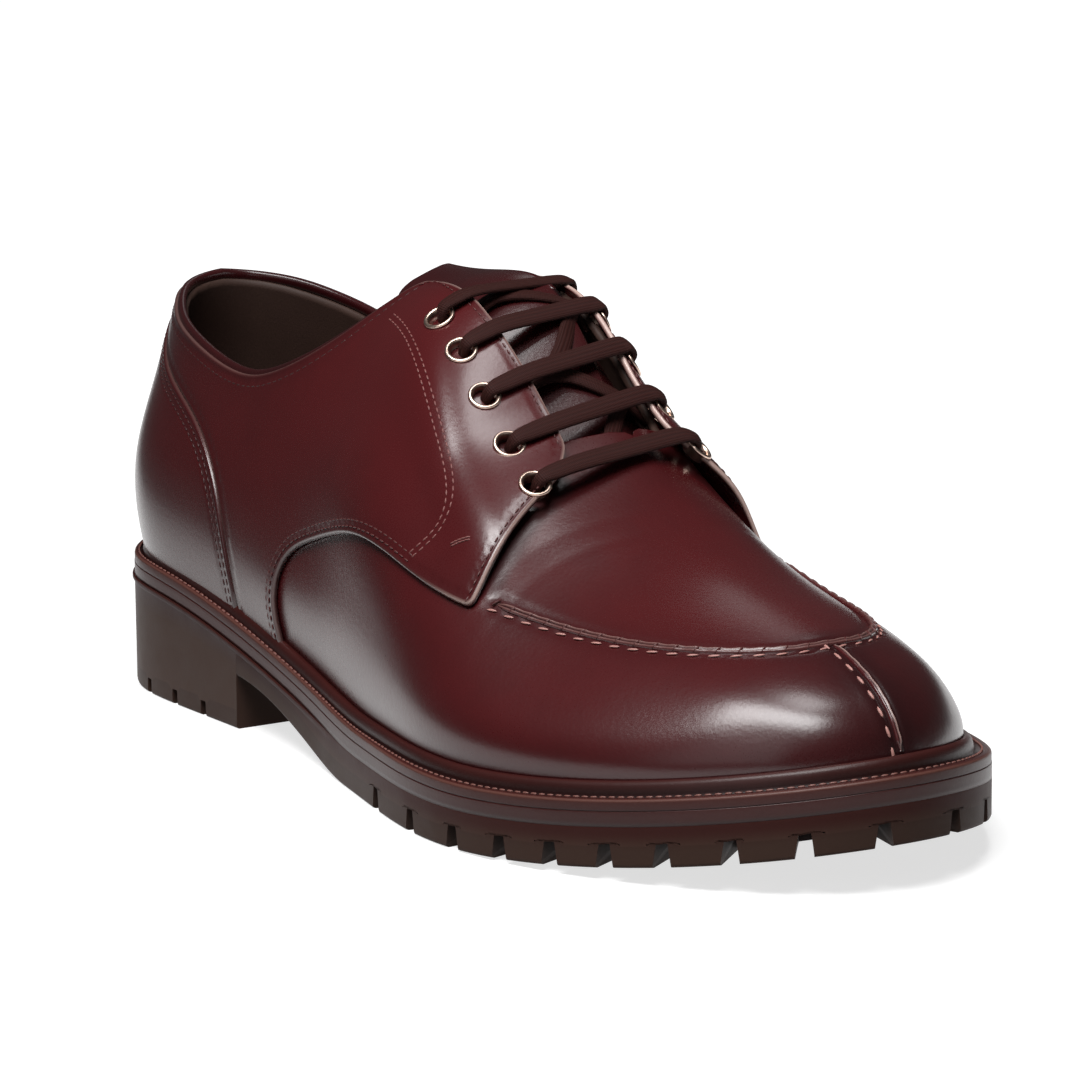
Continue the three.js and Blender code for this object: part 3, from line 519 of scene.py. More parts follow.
def rubber_finish(name, mid, dark, dyed, notch_shade):
    """Satin moulded rubber with a faint mottled skin, dyed along its top edge, with painted shade deep in its
    notches and lighter painted shade low on its side and underneath.
    """
    finish = Finish(name)
    place = finish.place()
    cloud = finish.noise(30.0, 4.0, 0.6, place)
    skin = finish.noise(900.0, 3.0, 0.6, place)
    scuff = finish.noise(160.0, 5.0, 0.65, place)
    colour = finish.mix((cloud * 0.7 + scuff * 0.3).clamped(), dark, mid)
    colour = finish.mix(finish.attribute("burnish").clamped(), colour, dyed)
    # Painted shade: near-black mixed in by the cut mark, full in the notches and lighter low on the side and
    # underneath.
    colour = finish.mix(finish.attribute("cut").clamped(), colour, notch_shade)
    finish.set(Base_Color=colour, Roughness=0.50 + (scuff - 0.5) * 0.16)
    finish.set(Normal=finish.bump(skin * 0.5 + scuff * 0.5, 0.00012, 0.4), Specular_IOR_Level=0.11)
    return finish.material


def lining_finish(name, mid, dark):
    """Matt lining leather, a little cloudy."""
    finish = Finish(name)
    place = finish.place()
    cloud = finish.noise(40.0, 4.0, 0.6, place)
    grain = finish.noise(1400.0, 3.0, 0.6, place)
    finish.set(Base_Color=finish.mix(cloud, dark, mid), Roughness=0.62 + (cloud - 0.5) * 0.1)
    finish.set(Normal=finish.bump(grain, 0.00012, 0.4), Specular_IOR_Level=0.3)
    return finish.material


def metal_finish(name, bright, dull):
    """Antique metal with a darker, worn tone in places."""
    finish = Finish(name)
    wear = finish.noise(600.0, 4.0, 0.6, finish.place())
    finish.set(Base_Color=finish.mix(wear, dull, bright), Metallic=1.0, Roughness=0.24 + wear * 0.14)
    finish.set(Normal=finish.bump(wear, 0.00005, 0.3))
    return finish.material


def lace_finish(name, light, dark):
    """Waxed flat braid: two crossing sets of yarns from the lace's own map."""
    finish = Finish(name)
    around, along = finish.two_parts(finish.node("ShaderNodeUVMap", {"uv_map": "braid"}))
    left = finish.sine(along * 1.25 + around * 9.0)
    right = finish.sine(along * 1.25 - around * 9.0)
    braid = (left * right) * 0.5 + 0.5
    fuzz = finish.noise(1800.0, 3.0, 0.6, finish.place())
    shade = (braid * 0.7 + fuzz * 0.4).clamped()
    finish.set(Base_Color=finish.mix(shade, dark, light), Roughness=0.55 + fuzz * 0.2)
    finish.set(Normal=finish.bump(braid * 0.8 + fuzz * 0.2, 0.00022, 0.8), Specular_IOR_Level=0.14)
    return finish.material


def thread_finish(name, light, dark):
    """Sewing thread with a light and a dark tone in its twist."""
    finish = Finish(name)
    twist = finish.noise(2500.0, 2.0, 0.6, finish.place())
    finish.set(Base_Color=finish.mix(twist, dark, light), Roughness=0.45)
    finish.set(Normal=finish.bump(twist, 0.00008, 0.5))
    return finish.material


# Edge colours are pale cut-edge tones that also serve as painted highlights along rims.
UPPER_LEATHER = leather_finish(
    "oxblood_leather", mid=(0.078, 0.0078, 0.0092), dark=(0.020, 0.0034, 0.0040), edge=(0.60, 0.42, 0.37),
    roughness=0.28, coat=0.40, specular=0.42)
WELT_LEATHER = leather_finish(
    "welt_leather_dark", mid=(0.052, 0.0100, 0.0085), dark=(0.018, 0.0042, 0.0038), edge=(0.26, 0.12, 0.09),
    roughness=0.40, coat=0.08, specular=0.28)
RUBBER = rubber_finish(
    "brown_rubber", mid=(0.084, 0.046, 0.034), dark=(0.062, 0.034, 0.025),
    dyed=(0.044, 0.0105, 0.0088), notch_shade=(0.012, 0.004, 0.0035))
LINING = lining_finish("brown_lining", mid=(0.060, 0.030, 0.022), dark=(0.030, 0.015, 0.011))
METAL = metal_finish("pale_copper", bright=(0.85, 0.68, 0.58), dull=(0.62, 0.42, 0.33))
LACE = lace_finish("waxed_lace", light=(0.048, 0.0125, 0.0100), dark=(0.013, 0.0034, 0.0030))
LIGHT_THREAD = thread_finish("light_thread", light=(0.60, 0.31, 0.27), dark=(0.34, 0.15, 0.13))
WELT_THREAD = thread_finish("welt_thread", light=(0.27, 0.115, 0.095), dark=(0.13, 0.05, 0.04))
TONAL_THREAD = thread_finish("tonal_thread", light=(0.13, 0.036, 0.034), dark=(0.06, 0.014, 0.013))
DARK_THREAD = thread_finish("dark_thread", light=(0.060, 0.013, 0.013), dark=(0.030, 0.006, 0.006))
FACING_THREAD = thread_finish("facing_thread", light=(0.30, 0.115, 0.105), dark=(0.15, 0.045, 0.042))


# Making of pieces

OFFSET = np.array([-cad_low.x * 1000, LAST_CENTRE_Y, 0.0])


def in_frame(points):
    """Source millimetres as metres in the part's frame."""
    return (np.asarray(points, float) - OFFSET) / 1000


def merge_doubles(work):
    bmesh.ops.remove_doubles(work, verts=work.verts, dist=1e-6)
    bmesh.ops.dissolve_degenerate(work, edges=work.edges, dist=1e-8)
    if work.calc_volume(signed=True) < 0:
        bmesh.ops.reverse_faces(work, faces=work.faces)


def turn_out(work):
    bmesh.ops.recalc_face_normals(work, faces=work.faces)


def rework(mesh, step):
    """Opens a mesh, takes one step on it and closes it again."""
    work = bmesh.new()
    work.from_mesh(mesh)
    step(work)
    work.to_mesh(mesh)
    work.free()


def piece(name, points, faces, material, replaced=(), marks=None, braid=None, lined=None, merge=True,
          sharp=None, turned=False):
    """Makes a smooth mesh piece, closes its doubles, turns its faces out and hangs it on the root."""
    mesh = bpy.data.meshes.new(name)
    mesh.from_pydata(in_frame(points).tolist(), [], [list(map(int, face)) for face in faces])
    none = np.zeros(len(points))
    for key, values in {"burnish": none, "cut": none, **(marks or {})}.items():
        mesh.attributes.new(key, "FLOAT", "POINT").data.foreach_set("value", np.asarray(values, np.float32))
    if braid is not None:
        layer = mesh.uv_layers.new(name="braid")
        corner = np.empty(len(mesh.loops), np.int32)
        mesh.loops.foreach_get("vertex_index", corner)
        layer.data.foreach_set("uv", np.asarray(braid, np.float32)[corner].ravel())
    mesh.materials.append(material)
    if lined is not None:
        mesh.materials.append(LINING)
        mesh.polygons.foreach_set("material_index", np.array(lined, np.int32))
    obj = bpy.data.objects.new(name, mesh)
    bpy.context.scene.collection.objects.link(obj)
    if merge:
        rework(mesh, merge_doubles)
    mesh.shade_smooth()
    if sharp is not None:
        mesh.set_sharp_from_angle(angle=math.radians(sharp))
    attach(obj, "root")
    if replaced:
        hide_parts(*replaced)
    if turned:
        rework(mesh, turn_out)


def grid_faces(rows, columns, closed_rows=False, closed_columns=False, start=0):
    """Quads between a grid of points, rows by columns."""
    faces = []
    for i in range(rows if closed_rows else rows - 1):
        here, there = start + i * columns, start + (i + 1) % rows * columns
        for j in range(columns if closed_columns else columns - 1):
            m = (j + 1) % columns
            faces.append((here + j, here + m, there + m, there + j))
    return faces


def plate_faces(n, m):
    """A grid on top, the same grid turned over below it, and the four rims between them."""
    count = n * m
    faces = grid_faces(n, m)
    faces += [tuple(i + count for i in face[::-1]) for face in faces]
    for way in (range(m - 1, count, m), range(0, count, m), range(m), range(count - m, count)):
        faces += [(i, j, j + count, i + count) for i, j in zip(way[:-1], way[1:])]
    return faces


def tube_faces(n, m):
    """Rings joined into a tube, with a cap at each end."""
    return grid_faces(n, m, False, True) + [tuple(range(m)), tuple(range((n - 1) * m, n * m))[::-1]]


def swept(path, ups, aside, up):
    """Sections along a path, each with its points' measures aside and up."""
    tangents = unit(np.gradient(path, axis=0))
    ups = unit(ups - (ups * tangents).sum(-1, keepdims=True) * tangents)
    across = np.cross(ups, tangents)
    return path[:, None] + across[:, None] * aside[..., None] + ups[:, None] * up[..., None]


def leather_strip(name, path, ups, profile, size, burnish, cut):
    """Strip of upper leather with one section all along, and its marks round the section."""
    aside, up = profile.T[:, None] * size[None, :, None]
    points = swept(path, ups, aside, up)
    n, m = points.shape[:2]
    marks = {"burnish": np.tile(burnish, n), "cut": np.tile(cut, n)}
    piece(name, points.reshape(-1, 3), tube_faces(n, m), UPPER_LEATHER, marks=marks)


def oval(width, height, count, power):
    turn = np.linspace(0, 2 * np.pi, count, endpoint=False)
    c, s = np.cos(turn), np.sin(turn)
    across = width / 2 * np.sign(c) * np.abs(c) ** (2 / power)
    return np.stack([across, height / 2 * np.sign(s) * np.abs(s) ** (2 / power)], -1)


# Stitches


def stitch_tree():
    """Geometry Nodes: a rounded stitch on each point, turned along the seam and off the leather."""
    tree = bpy.data.node_groups.new("stitch_row", "GeometryNodeTree")
    sockets = tree.interface
    sockets.new_socket("Geometry", in_out="INPUT", socket_type="NodeSocketGeometry")
    for label in ("Length", "Width", "Height"):
        sockets.new_socket(label, in_out="INPUT", socket_type="NodeSocketFloat")
    sockets.new_socket("Thread", in_out="INPUT", socket_type="NodeSocketMaterial")
    sockets.new_socket("Geometry", in_out="OUTPUT", socket_type="NodeSocketGeometry")
    nodes, link = tree.nodes, tree.links.new
    given = nodes.new("NodeGroupInput")
    ball = nodes.new("GeometryNodeMeshUVSphere")
    ball.inputs["Segments"].default_value = 8
    ball.inputs["Rings"].default_value = 6
    ball.inputs["Radius"].default_value = 0.5
    size = nodes.new("ShaderNodeCombineXYZ")
    for i, label in enumerate(("Length", "Width", "Height")):
        link(given.outputs[label], size.inputs[i])
    shape = nodes.new("GeometryNodeTransform")
    link(ball.outputs["Mesh"], shape.inputs["Geometry"])
    link(size.outputs[0], shape.inputs["Scale"])
    turns = []
    for label, axis, pivot in (("out", "Z", "AUTO"), ("along", "X", "Z")):
        field = nodes.new("GeometryNodeInputNamedAttribute")
        field.data_type = "FLOAT_VECTOR"
        field.inputs["Name"].default_value = label
        turn = nodes.new("FunctionNodeAlignRotationToVector")
        turn.axis = axis
        turn.pivot_axis = pivot
        link(field.outputs["Attribute"], turn.inputs["Vector"])
        if turns:
            link(turns[-1].outputs["Rotation"], turn.inputs["Rotation"])
        turns.append(turn)
    placed = nodes.new("GeometryNodeInstanceOnPoints")
    link(given.outputs["Geometry"], placed.inputs["Points"])
    link(shape.outputs["Geometry"], placed.inputs["Instance"])
    link(turns[-1].outputs["Rotation"], placed.inputs["Rotation"])
    real = nodes.new("GeometryNodeRealizeInstances")
    link(placed.outputs["Instances"], real.inputs["Geometry"])
    coat = nodes.new("GeometryNodeSetMaterial")
    link(real.outputs["Geometry"], coat.inputs["Geometry"])
    link(given.outputs["Thread"], coat.inputs["Material"])
    smoothed = nodes.new("GeometryNodeSetShadeSmooth")
    link(coat.outputs["Geometry"], smoothed.inputs["Geometry"])
    result = nodes.new("NodeGroupOutput")
    link(smoothed.outputs["Geometry"], result.inputs["Geometry"])
    return tree


STITCH_TREE = stitch_tree()


def stitches(name, rows, length, width, height, thread):
    """Rows of (places, along, out) become one piece of stitches."""
    places = np.concatenate([row[0] for row in rows])
    along = np.concatenate([row[1] for row in rows])
    out = np.concatenate([row[2] for row in rows])
    mesh = bpy.data.meshes.new(name + "_points")
    mesh.from_pydata(in_frame(places).tolist(), [], [])
    for key, value in (("along", along), ("out", out)):
        field = mesh.attributes.new(key, "FLOAT_VECTOR", "POINT")
        field.data.foreach_set("vector", value.astype(np.float32).ravel())
    seed = bpy.data.objects.new(name + "_points", mesh)
    bpy.context.scene.collection.objects.link(seed)
    modifier = seed.modifiers.new("stitches", "NODES")
    modifier.node_group = STITCH_TREE
    values = {"Length": length / 1000, "Width": width / 1000, "Height": height / 1000, "Thread": thread}
    for item in STITCH_TREE.interface.items_tree:
        if item.in_out == "INPUT" and item.name in values:
            modifier[item.identifier] = values[item.name]
    seed.update_tag()
    graph = bpy.context.evaluated_depsgraph_get()
    made = bpy.data.meshes.new_from_object(seed.evaluated_get(graph))
    bpy.data.objects.remove(seed)
    if not made.materials:
        made.materials.append(thread)
    obj = bpy.data.objects.new(name, made)
    bpy.context.scene.collection.objects.link(obj)
    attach(obj, "root")
    return obj


def stitch_row(line, pitch, lift, stand_off=None, slant=0.0):
    """Places, directions and normals of stitches along a chart line."""
    line = even(line, pitch)
    a, t = line[:, 0], line[:, 1]
    places = lifted(a, t, lift + (stand_off(a, t) if stand_off else np.zeros(len(a))))
    out = last_normal(a, t)
    along = unit(np.gradient(places, axis=0))
    side = np.cross(out, along)
    return places, unit(along * math.cos(slant) + side * math.sin(slant)), out


# Upper: outer vamp, inner lining and the rims between them

apron_sides = [resample(chart(APRON, side), 0.8) for _, side in SIDES]
apron_line = np.concatenate([apron_sides[0], apron_sides[1][::-1][1:]])
toe_shares = np.linspace(APRON_FRONT + 0.001, 0.998, 60)
toe_line = even(np.stack([length_angle(toe_shares), np.full(60, np.pi / 2)], -1), 0.8)
collar_top = table_curve(COLLAR)

CREASES = [(0.668, 0.0045, 0.04), (0.690, 0.005, 0.06)]
APRON_PITCH = 5.0
TOE_PITCH = 4.6
QUARTER_PITCH = 2.2


def upper_edge(a):
    """Section angle at which the wall ends: collar, facing, throat, then the closed ridge."""
    share = length_share(a)
    collar = collar_top(np.minimum(a, length_angle(COLLAR_END)))[..., 0]
    facing = COLLAR_END_LEVEL + (THROAT_EDGE - COLLAR_END_LEVEL) * smooth(COLLAR_END, 0.415, share)
    angle = np.arcsin(np.clip(np.where(share < COLLAR_END, collar, facing), 0, 1)) - 0.02
    return angle + (np.pi / 2 - angle) * smooth(THROAT_FRONT - 0.016, THROAT_FRONT, share)


def vamp_relief(a, t):
    """Lift of the vamp along its seams and creases, its burnish with painted shade under and ahead of the
    tabs, and the mask of the painted shadow beside the tabs.
    """
    places = last_point(a, t)
    seam = last_point(apron_line[:, 0], apron_line[:, 1])
    distance, way, offset, index = line_distance(places, seam)
    tangent = unit(np.gradient(seam, axis=0))[index]
    outer = (offset * np.cross(last_normal(a, t), tangent)).sum(-1) < 0
    pucker = 1 + 0.45 * np.cos(2 * np.pi * way / APRON_PITCH)
    plug = -0.30 * swell(distance, 1.9, 0.9) - 0.15 * np.exp(-distance / 5.0)
    wall = 0.10 * swell(distance, 4.6, 3.4) - 0.24 * swell(distance, 1.9, 0.7) * pucker
    lift = np.where(outer, wall, plug)
    gap = line_distance(places, last_point(toe_line[:, 0], toe_line[:, 1]))[0]
    lift += 0.14 * swell(gap, 3.6, 2.0) - 0.22 * swell(gap, 1.3, 0.6)
    share, level = length_share(a), section_level(t)
    bend = share + 0.035 * (t / np.pi - 0.5) ** 2 - 0.006 * np.sin(5 * t)
    for centre, width, depth in CREASES:
        lift -= depth * swell(bend, centre, width) * smooth(0.45, 0.75, level)
    dark = 0.08 + 0.45 * np.exp(-distance / 4.5) + 0.5 * np.exp(-gap / 5.0) * (share > 0.88)
    dark += 0.50 * smooth(0.86, 1.0, share) + 0.45 * np.exp(-level / 0.16)
    # Painted shade on the vamp high on its sides, under the facings and ahead of the tabs.
    dark += 0.25 * smooth(0.74, 0.60, share) * smooth(0.6, 0.9, level)
    # Painted shadow beside the tabs: strongest within 2 mm of a tab's front edge, gone by 5 mm, only high on
    # the vamp.
    tabs = [resample(chart(TAB_FRONT, side, tab_shift(side)), 0.8) for _, side in SIDES]
    near_tab = np.minimum(*[line_distance(places, last_point(tab[:, 0], tab[:, 1]))[0] for tab in tabs])
    return lift, dark, 0.6 * smooth(5.0, 2.0, near_tab) * smooth(0.66, 0.74, level)


BACK_COLUMNS = 40
FRONT_COLUMNS = 300
HALF_ROWS = 104
COARSE = 4


def upper_rims(a, index, coarse):
    """Faces that join the fine outer wall to the coarse lining at the foot and at the open top."""
    rims = []
    for j, k in ((0, 0), (-1, -1)):
        for i in range(len(coarse) - 1):
            if j and a[i * COARSE, 0] >= length_angle(THROAT_FRONT + 0.002):
                continue
            fine = [int(index[i * COARSE + step, j]) for step in range(COARSE + 1)]
            face = fine[::-1] + [int(coarse[i, k]), int(coarse[i + 1, k])]
            rims.append(face if j else face[::-1])
    return rims


def make_upper():
    """Vamp and lining in one wall: a fine outer face and a coarse inner one, half by half."""
    split = length_angle(0.33)
    back = np.linspace(0, split, BACK_COLUMNS, endpoint=False)
    columns = np.r_[back, np.linspace(split, np.pi, FRONT_COLUMNS + 1)]
    points, faces, burnish, painted_shadow, lined = [], [], [], [], []
    count = 0
    for _, side in SIDES:
        a = np.repeat(columns[:, None], HALF_ROWS + 1, 1)
        t = upper_edge(a) * np.linspace(0, 1, HALF_ROWS + 1)[None]
        if side == MEDIAL:
            t = np.pi - t
        lift, dark, shaded = vamp_relief(a.ravel(), t.ravel())
        lift[a.ravel() < split] = 0
        inner_a, inner_t = a[::COARSE, ::COARSE], t[::COARSE, ::COARSE]
        inner = lifted(inner_a.ravel(), inner_t.ravel(), LINING_LIFT)
        start = count + a.size
        index = np.arange(a.size).reshape(a.shape) + count
        coarse = np.arange(inner_a.size).reshape(inner_a.shape) + start
        outside = grid_faces(*a.shape, start=count)
        lining = [face[::-1] for face in grid_faces(*inner_a.shape, start=start)]
        lining += upper_rims(a, index, coarse)
        if side == MEDIAL:
            outside = [face[::-1] for face in outside]
            lining = [face[::-1] for face in lining]
        points += [lifted(a.ravel(), t.ravel(), lift), inner]
        burnish += [dark, np.full(len(inner), 0.3)]
        # Mask of the painted shadow beside the tabs on the outer face; none on the lining.
        painted_shadow += [shaded, np.zeros(len(inner))]
        faces += outside + lining
        lined += [0] * len(outside) + [1] * len(lining)
        count = start + inner_a.size
    marks = {"burnish": np.concatenate(burnish), "painted_shadow": np.concatenate(painted_shadow)}
    points = np.concatenate(points)
    piece("vamp_and_lining", points, faces, UPPER_LEATHER, ["upper"], marks, lined=lined)


make_upper()

# Raised seams of apron and toe, each with two thin leather edges side by side

RIDGE_PROFILE = [
    (-1.25, -0.5), (-1.15, 0.15), (-0.95, 0.72), (-0.62, 0.98), (-0.28, 0.92), (-0.10, 0.62),
    (0.10, 0.62), (0.28, 0.98), (0.62, 1.08), (0.95, 0.80), (1.15, 0.20), (1.25, -0.5),
]
RIDGE_BURNISH = np.array([0.6, 0.4, 0.15, 0, 0.1, 0.9, 0.9, 0.1, 0, 0.15, 0.4, 0.6])
# Painted highlight along the top of each leather edge of a raised seam, as amounts of pale edge colour round
# half the profile.
RIDGE_EDGE_HIGHLIGHT = np.array([0, 0, 0.3, 1.0, 0.5, 0])


def seam_ridge(name, line, wide, tall, pitch, near_highlight, far_highlight):
    """A raised seam, slightly pulled in at each stitch, with a painted highlight of its own strength along
    the top of each of its two edges.
    """
    line = even(line, 0.5)
    a, t = line[:, 0], line[:, 1]
    path = lifted(a, t, -0.12)
    way = way_along(path)
    pull = 1 + 0.07 * np.cos(2 * np.pi * way / pitch)
    ends = smooth(0, 3, way) * smooth(0, 3, way[-1] - way) * 0.7 + 0.3
    cut = np.r_[RIDGE_EDGE_HIGHLIGHT * near_highlight, RIDGE_EDGE_HIGHLIGHT[::-1] * far_highlight]
    profile = np.array(RIDGE_PROFILE) * [wide, tall]
    leather_strip(name, path, last_normal(a, t), profile, pull * ends, RIDGE_BURNISH, cut)


# Painted highlights: faint on both apron edges, strong on the toe seam's far edge, almost none on its near
# edge.
seam_ridge("apron_seam", apron_line, 0.84, 0.82, APRON_PITCH, 0.16, 0.24)
seam_ridge("toe_seam", toe_line, 0.62, 0.66, TOE_PITCH, 0.02, 0.62)

apron_across = even(apron_line, 1.0)
apron_out = shifted_line(apron_across, -2.0)
edge_row = stitch_row(apron_out, APRON_PITCH, 0.12, slant=0.16)
stitches("apron_stitches", [edge_row], 2.9, 0.62, 0.50, LIGHT_THREAD)
wraps = stitch_row(apron_across, APRON_PITCH, 0.42, slant=1.0)
stitches("apron_wraps", [wraps], 2.7, 0.40, 1.15, TONAL_THREAD)
toe_out = shifted_line(even(toe_line, 1.0), -2.3)
toe_row = stitch_row(toe_out[1:], TOE_PITCH, 0.15, slant=0.05)
stitches("toe_stitches", [toe_row], 3.0, 0.78, 0.66, LIGHT_THREAD)


# Quarters with facing, tab and eyelet holes

EDGE_INSETS = [0.0, 0.14, 0.42, 0.9, 1.7]
EDGE_ROLL = 0.55
EDGE_STITCH = 1.6
PATCH_SPACING = 1.1
HOLE_POINTS = 20


def eyelet_chart(row, side):
    share = EYELET_FIRST + (EYELET_LAST - EYELET_FIRST) * row / (EYELETS - 1) + tab_shift(side)
    return chart([(share, EYELET_LEVEL)], side)[0]


def quarter_lift(a, t, side):
    """How far the facing and tab stand off the vamp beyond their own base."""
    share = length_share(a) - tab_shift(side)
    return 2.8 * smooth(0.555, 0.628, share) * smooth(0.57, 0.84, section_level(t))


def collar_binding():
    """Thin folded strip over the collar's edge, from facing to facing round the heel."""
    lateral, medial = [resample(chart(COLLAR, side), 1.0) for _, side in SIDES]
    line = np.concatenate([lateral[::-1], medial[1:]])
    path = lifted(line[:, 0], line[:, 1], -0.15)
    path[:, 2] += 0.2
    profile = oval(3.0, 2.2, 14, 2.6)
    ups = last_normal(line[:, 0], line[:, 1])
    leather_strip("collar_binding", path, ups, profile, np.ones(len(line)), np.full(14, 0.75), np.zeros(14))


def hole_rings(row, side):
    """Two rings of chart points round an eyelet's hole."""
    a, t = np.repeat(eyelet_chart(row, side)[:, None], HOLE_POINTS, 1)
    turn = np.linspace(0, 2 * np.pi, HOLE_POINTS, endpoint=False)
    normal = last_normal(a, t)
    first = unit(np.cross(normal, [0, 1.0, 0]))
    second = np.cross(normal, first)
    way = first * np.cos(turn)[:, None] + second * np.sin(turn)[:, None]
    return [np.stack([a, t], -1) + chart_step(a, t, way * (HOLE_RADIUS + rim)) for rim in (0, 0.5)]


def chart_scale(a, t):
    """Millimetres on the last for one unit of each chart direction."""
    step = 0.01
    along = last_point(a + step, t) - last_point(a - step, t)
    up = last_point(a, t + step) - last_point(a, t - step)
    return np.linalg.norm([along, up], axis=1) / (2 * step)


def quarter_net(side, loop):
    """Points and triangles of a quarter in the chart, finer along its edge and with its holes."""
    moved_in = chart_step(loop[:, 0], loop[:, 1], inward(loop))
    rings = [loop + moved_in * inset for inset in EDGE_INSETS]
    low, high = loop.min(0), loop.max(0)
    scale = chart_scale(*(low + high) / 2)
    step = PATCH_SPACING / scale[0]
    levels = np.arange(low[1], high[1], PATCH_SPACING / scale[1] * 0.9)
    shares = np.arange(low[0], high[0], step)
    grid = np.array([(a + (k % 2) * 0.5 * step, t) for k, t in enumerate(levels) for a in shares])
    grid = grid[inside(grid, rings[-1])]
    places = last_point(loop[:, 0], loop[:, 1])
    distance = line_distance(last_point(grid[:, 0], grid[:, 1]), places, True)[0]
    grid = grid[distance > EDGE_INSETS[-1] + PATCH_SPACING * 0.55]
    holes = []
    for row in range(EYELETS):
        holes += hole_rings(row, side)
        away = last_point(grid[:, 0], grid[:, 1]) - last_point(*eyelet_chart(row, side))
        grid = grid[np.linalg.norm(away, axis=1) > HOLE_RADIUS + 1.1]
    rings += holes
    edges, start = [], 0
    for ring in rings:
        edges += [(start + i, start + (i + 1) % len(ring)) for i in range(len(ring))]
        start += len(ring)
    flat = [Vector(point) for point in np.concatenate(rings + [grid]) * scale]
    out = delaunay_2d_cdt(flat, edges, [], 0, 1e-7)
    coords = np.array([(v.x / scale[0], v.y / scale[1]) for v in out[0]])
    faces = np.array(out[2])
    middle = coords[faces].mean(1)
    keep = inside(middle, loop)
    for hole in holes[::2]:
        keep &= ~inside(middle, hole)
    return coords[:, 0], coords[:, 1], [tuple(face) for face in faces[keep]]


def quarter_leather(name, side, loop, stand_off):
    """Overlay with rolled edges, a pressed line beside them, a flat underside and eyelet holes."""
    a, t, faces = quarter_net(side, loop)
    distance = line_distance(last_point(a, t), last_point(loop[:, 0], loop[:, 1]), True)[0]
    roll = np.sqrt(np.clip(1 - np.clip(1 - distance / EDGE_ROLL, 0, 1) ** 2, 0, 1))
    lift = QUARTER_BASE + QUARTER_THICKNESS * (0.55 + 0.45 * roll)
    lift -= 0.22 * swell(distance, EDGE_STITCH, 0.55) + 0.05 * smooth(EDGE_STITCH + 1, 0, distance)
    top = lifted(a, t, lift + stand_off(a, t))
    under = lifted(a, t, QUARTER_BASE + stand_off(a, t))
    count = len(a)
    seen = dict.fromkeys((face[i], face[(i + 1) % 3]) for face in faces for i in range(3))
    rim = [edge for edge in seen if (edge[1], edge[0]) not in seen]
    faces += [(i + count, k + count, j + count) for i, j, k in faces]
    faces += [(i, i + count, j + count, j) for i, j in rim]
    share, level = length_share(a), section_level(t)
    dark = 0.10 + 0.42 * np.exp(-distance / 2.6) + 0.28 * smooth(0.35, 0.0, level)
    dark += 0.20 * smooth(0.24, 0.08, share) - 0.1 * smooth(0.80, 0.92, level)
    # Pale cut-edge colour, also a painted highlight along the rim: strong on the facing and tab edges, faint
    # elsewhere.
    cut = np.interp(distance, [0.0, 0.16, 0.44, 0.8], [0.9, 0.9, 0.25, 0.0])
    cut *= 0.12 + 0.88 * smooth(0.385, 0.41, share) * smooth(0.55, 0.62, level)
    marks = {"burnish": np.r_[dark, dark], "cut": np.r_[cut, 0 * cut]}
    piece(name + "_leather", np.r_[top, under], faces, UPPER_LEATHER, [name], marks)


def quarter_stitches(side_name, side, seams, stand_off):
    """Rows along foot, tab, facing and collar, the facing's own double row and the bar tack."""
    face = QUARTER_BASE + QUARTER_THICKNESS
    foot, tab, facing, collar = [resample(seam, 0.8) for seam in seams]

    def rows_beside(line, asides, pitch, sink):
        return [stitch_row(shifted_line(line, aside), pitch, face + sink, stand_off) for aside in asides]

    rows = rows_beside(foot, (1.7 * side, 3.3 * side), QUARTER_PITCH, -0.05)
    for line, first in ((tab, 2), (facing, 3)):
        beside = shifted_line(line, 1.7 * side)[first:-2]
        rows.append(stitch_row(beside, QUARTER_PITCH, face - 0.05, stand_off))
    stitches("quarter_stitches_" + side_name, rows, 1.7, 0.42, 0.40, TONAL_THREAD)
    rows = rows_beside(collar, (3.0 * side,), QUARTER_PITCH, -0.06)
    stitches("collar_stitches_" + side_name, rows, 1.7, 0.36, 0.34, DARK_THREAD)
    seam = resample(chart(FACING_STITCH, side, tab_shift(side)), 0.8)
    tack = resample(chart(BAR_TACK, side, tab_shift(side)), 0.5)
    rows = rows_beside(seam, (-0.8, 0.8), 2.1, 0.02) + rows_beside(tack, (-0.35, 0.35), 0.9, 0.05)
    stitches("facing_stitches_" + side_name, rows, 1.6, 0.42, 0.40, FACING_THREAD)


def make_quarter(side_name, side):
    collar = chart(COLLAR, side)
    facing = chart(FACING, side, tab_shift(side) * 0.5)
    tab = chart(TAB_FRONT, side, tab_shift(side))
    foot = chart(QUARTER_FOOT, side, tab_shift(side))
    counter = chart(COUNTER_FRONT, side, 0.0011)
    parts = [
        collar, np.r_[collar[-1:], facing[:1]], facing, np.r_[facing[-1:], tab[:1]], tab,
        np.r_[tab[-1:], foot], np.r_[foot[-1:], counter[:1]], counter,
    ]

    def stand_off(a, t):
        return quarter_lift(a, t, side)

    quarter_leather("quarter_" + side_name, side, closed_outline(parts, 0.8, 10), stand_off)
    quarter_stitches(side_name, side, (foot, tab, np.r_[collar[-1:], facing], collar), stand_off)


for side_name, side in SIDES:
    make_quarter(side_name, side)
collar_binding()

# Heel counter, drawn in a chart that runs round the back

COUNTER_ROWS = (2.0, 3.8)


def heel_to_last(p, q):
    """Chart round the heel (signed length angle, section angle) as chart points of the last."""
    return np.abs(p), np.where(p < 0, q, np.pi - q)


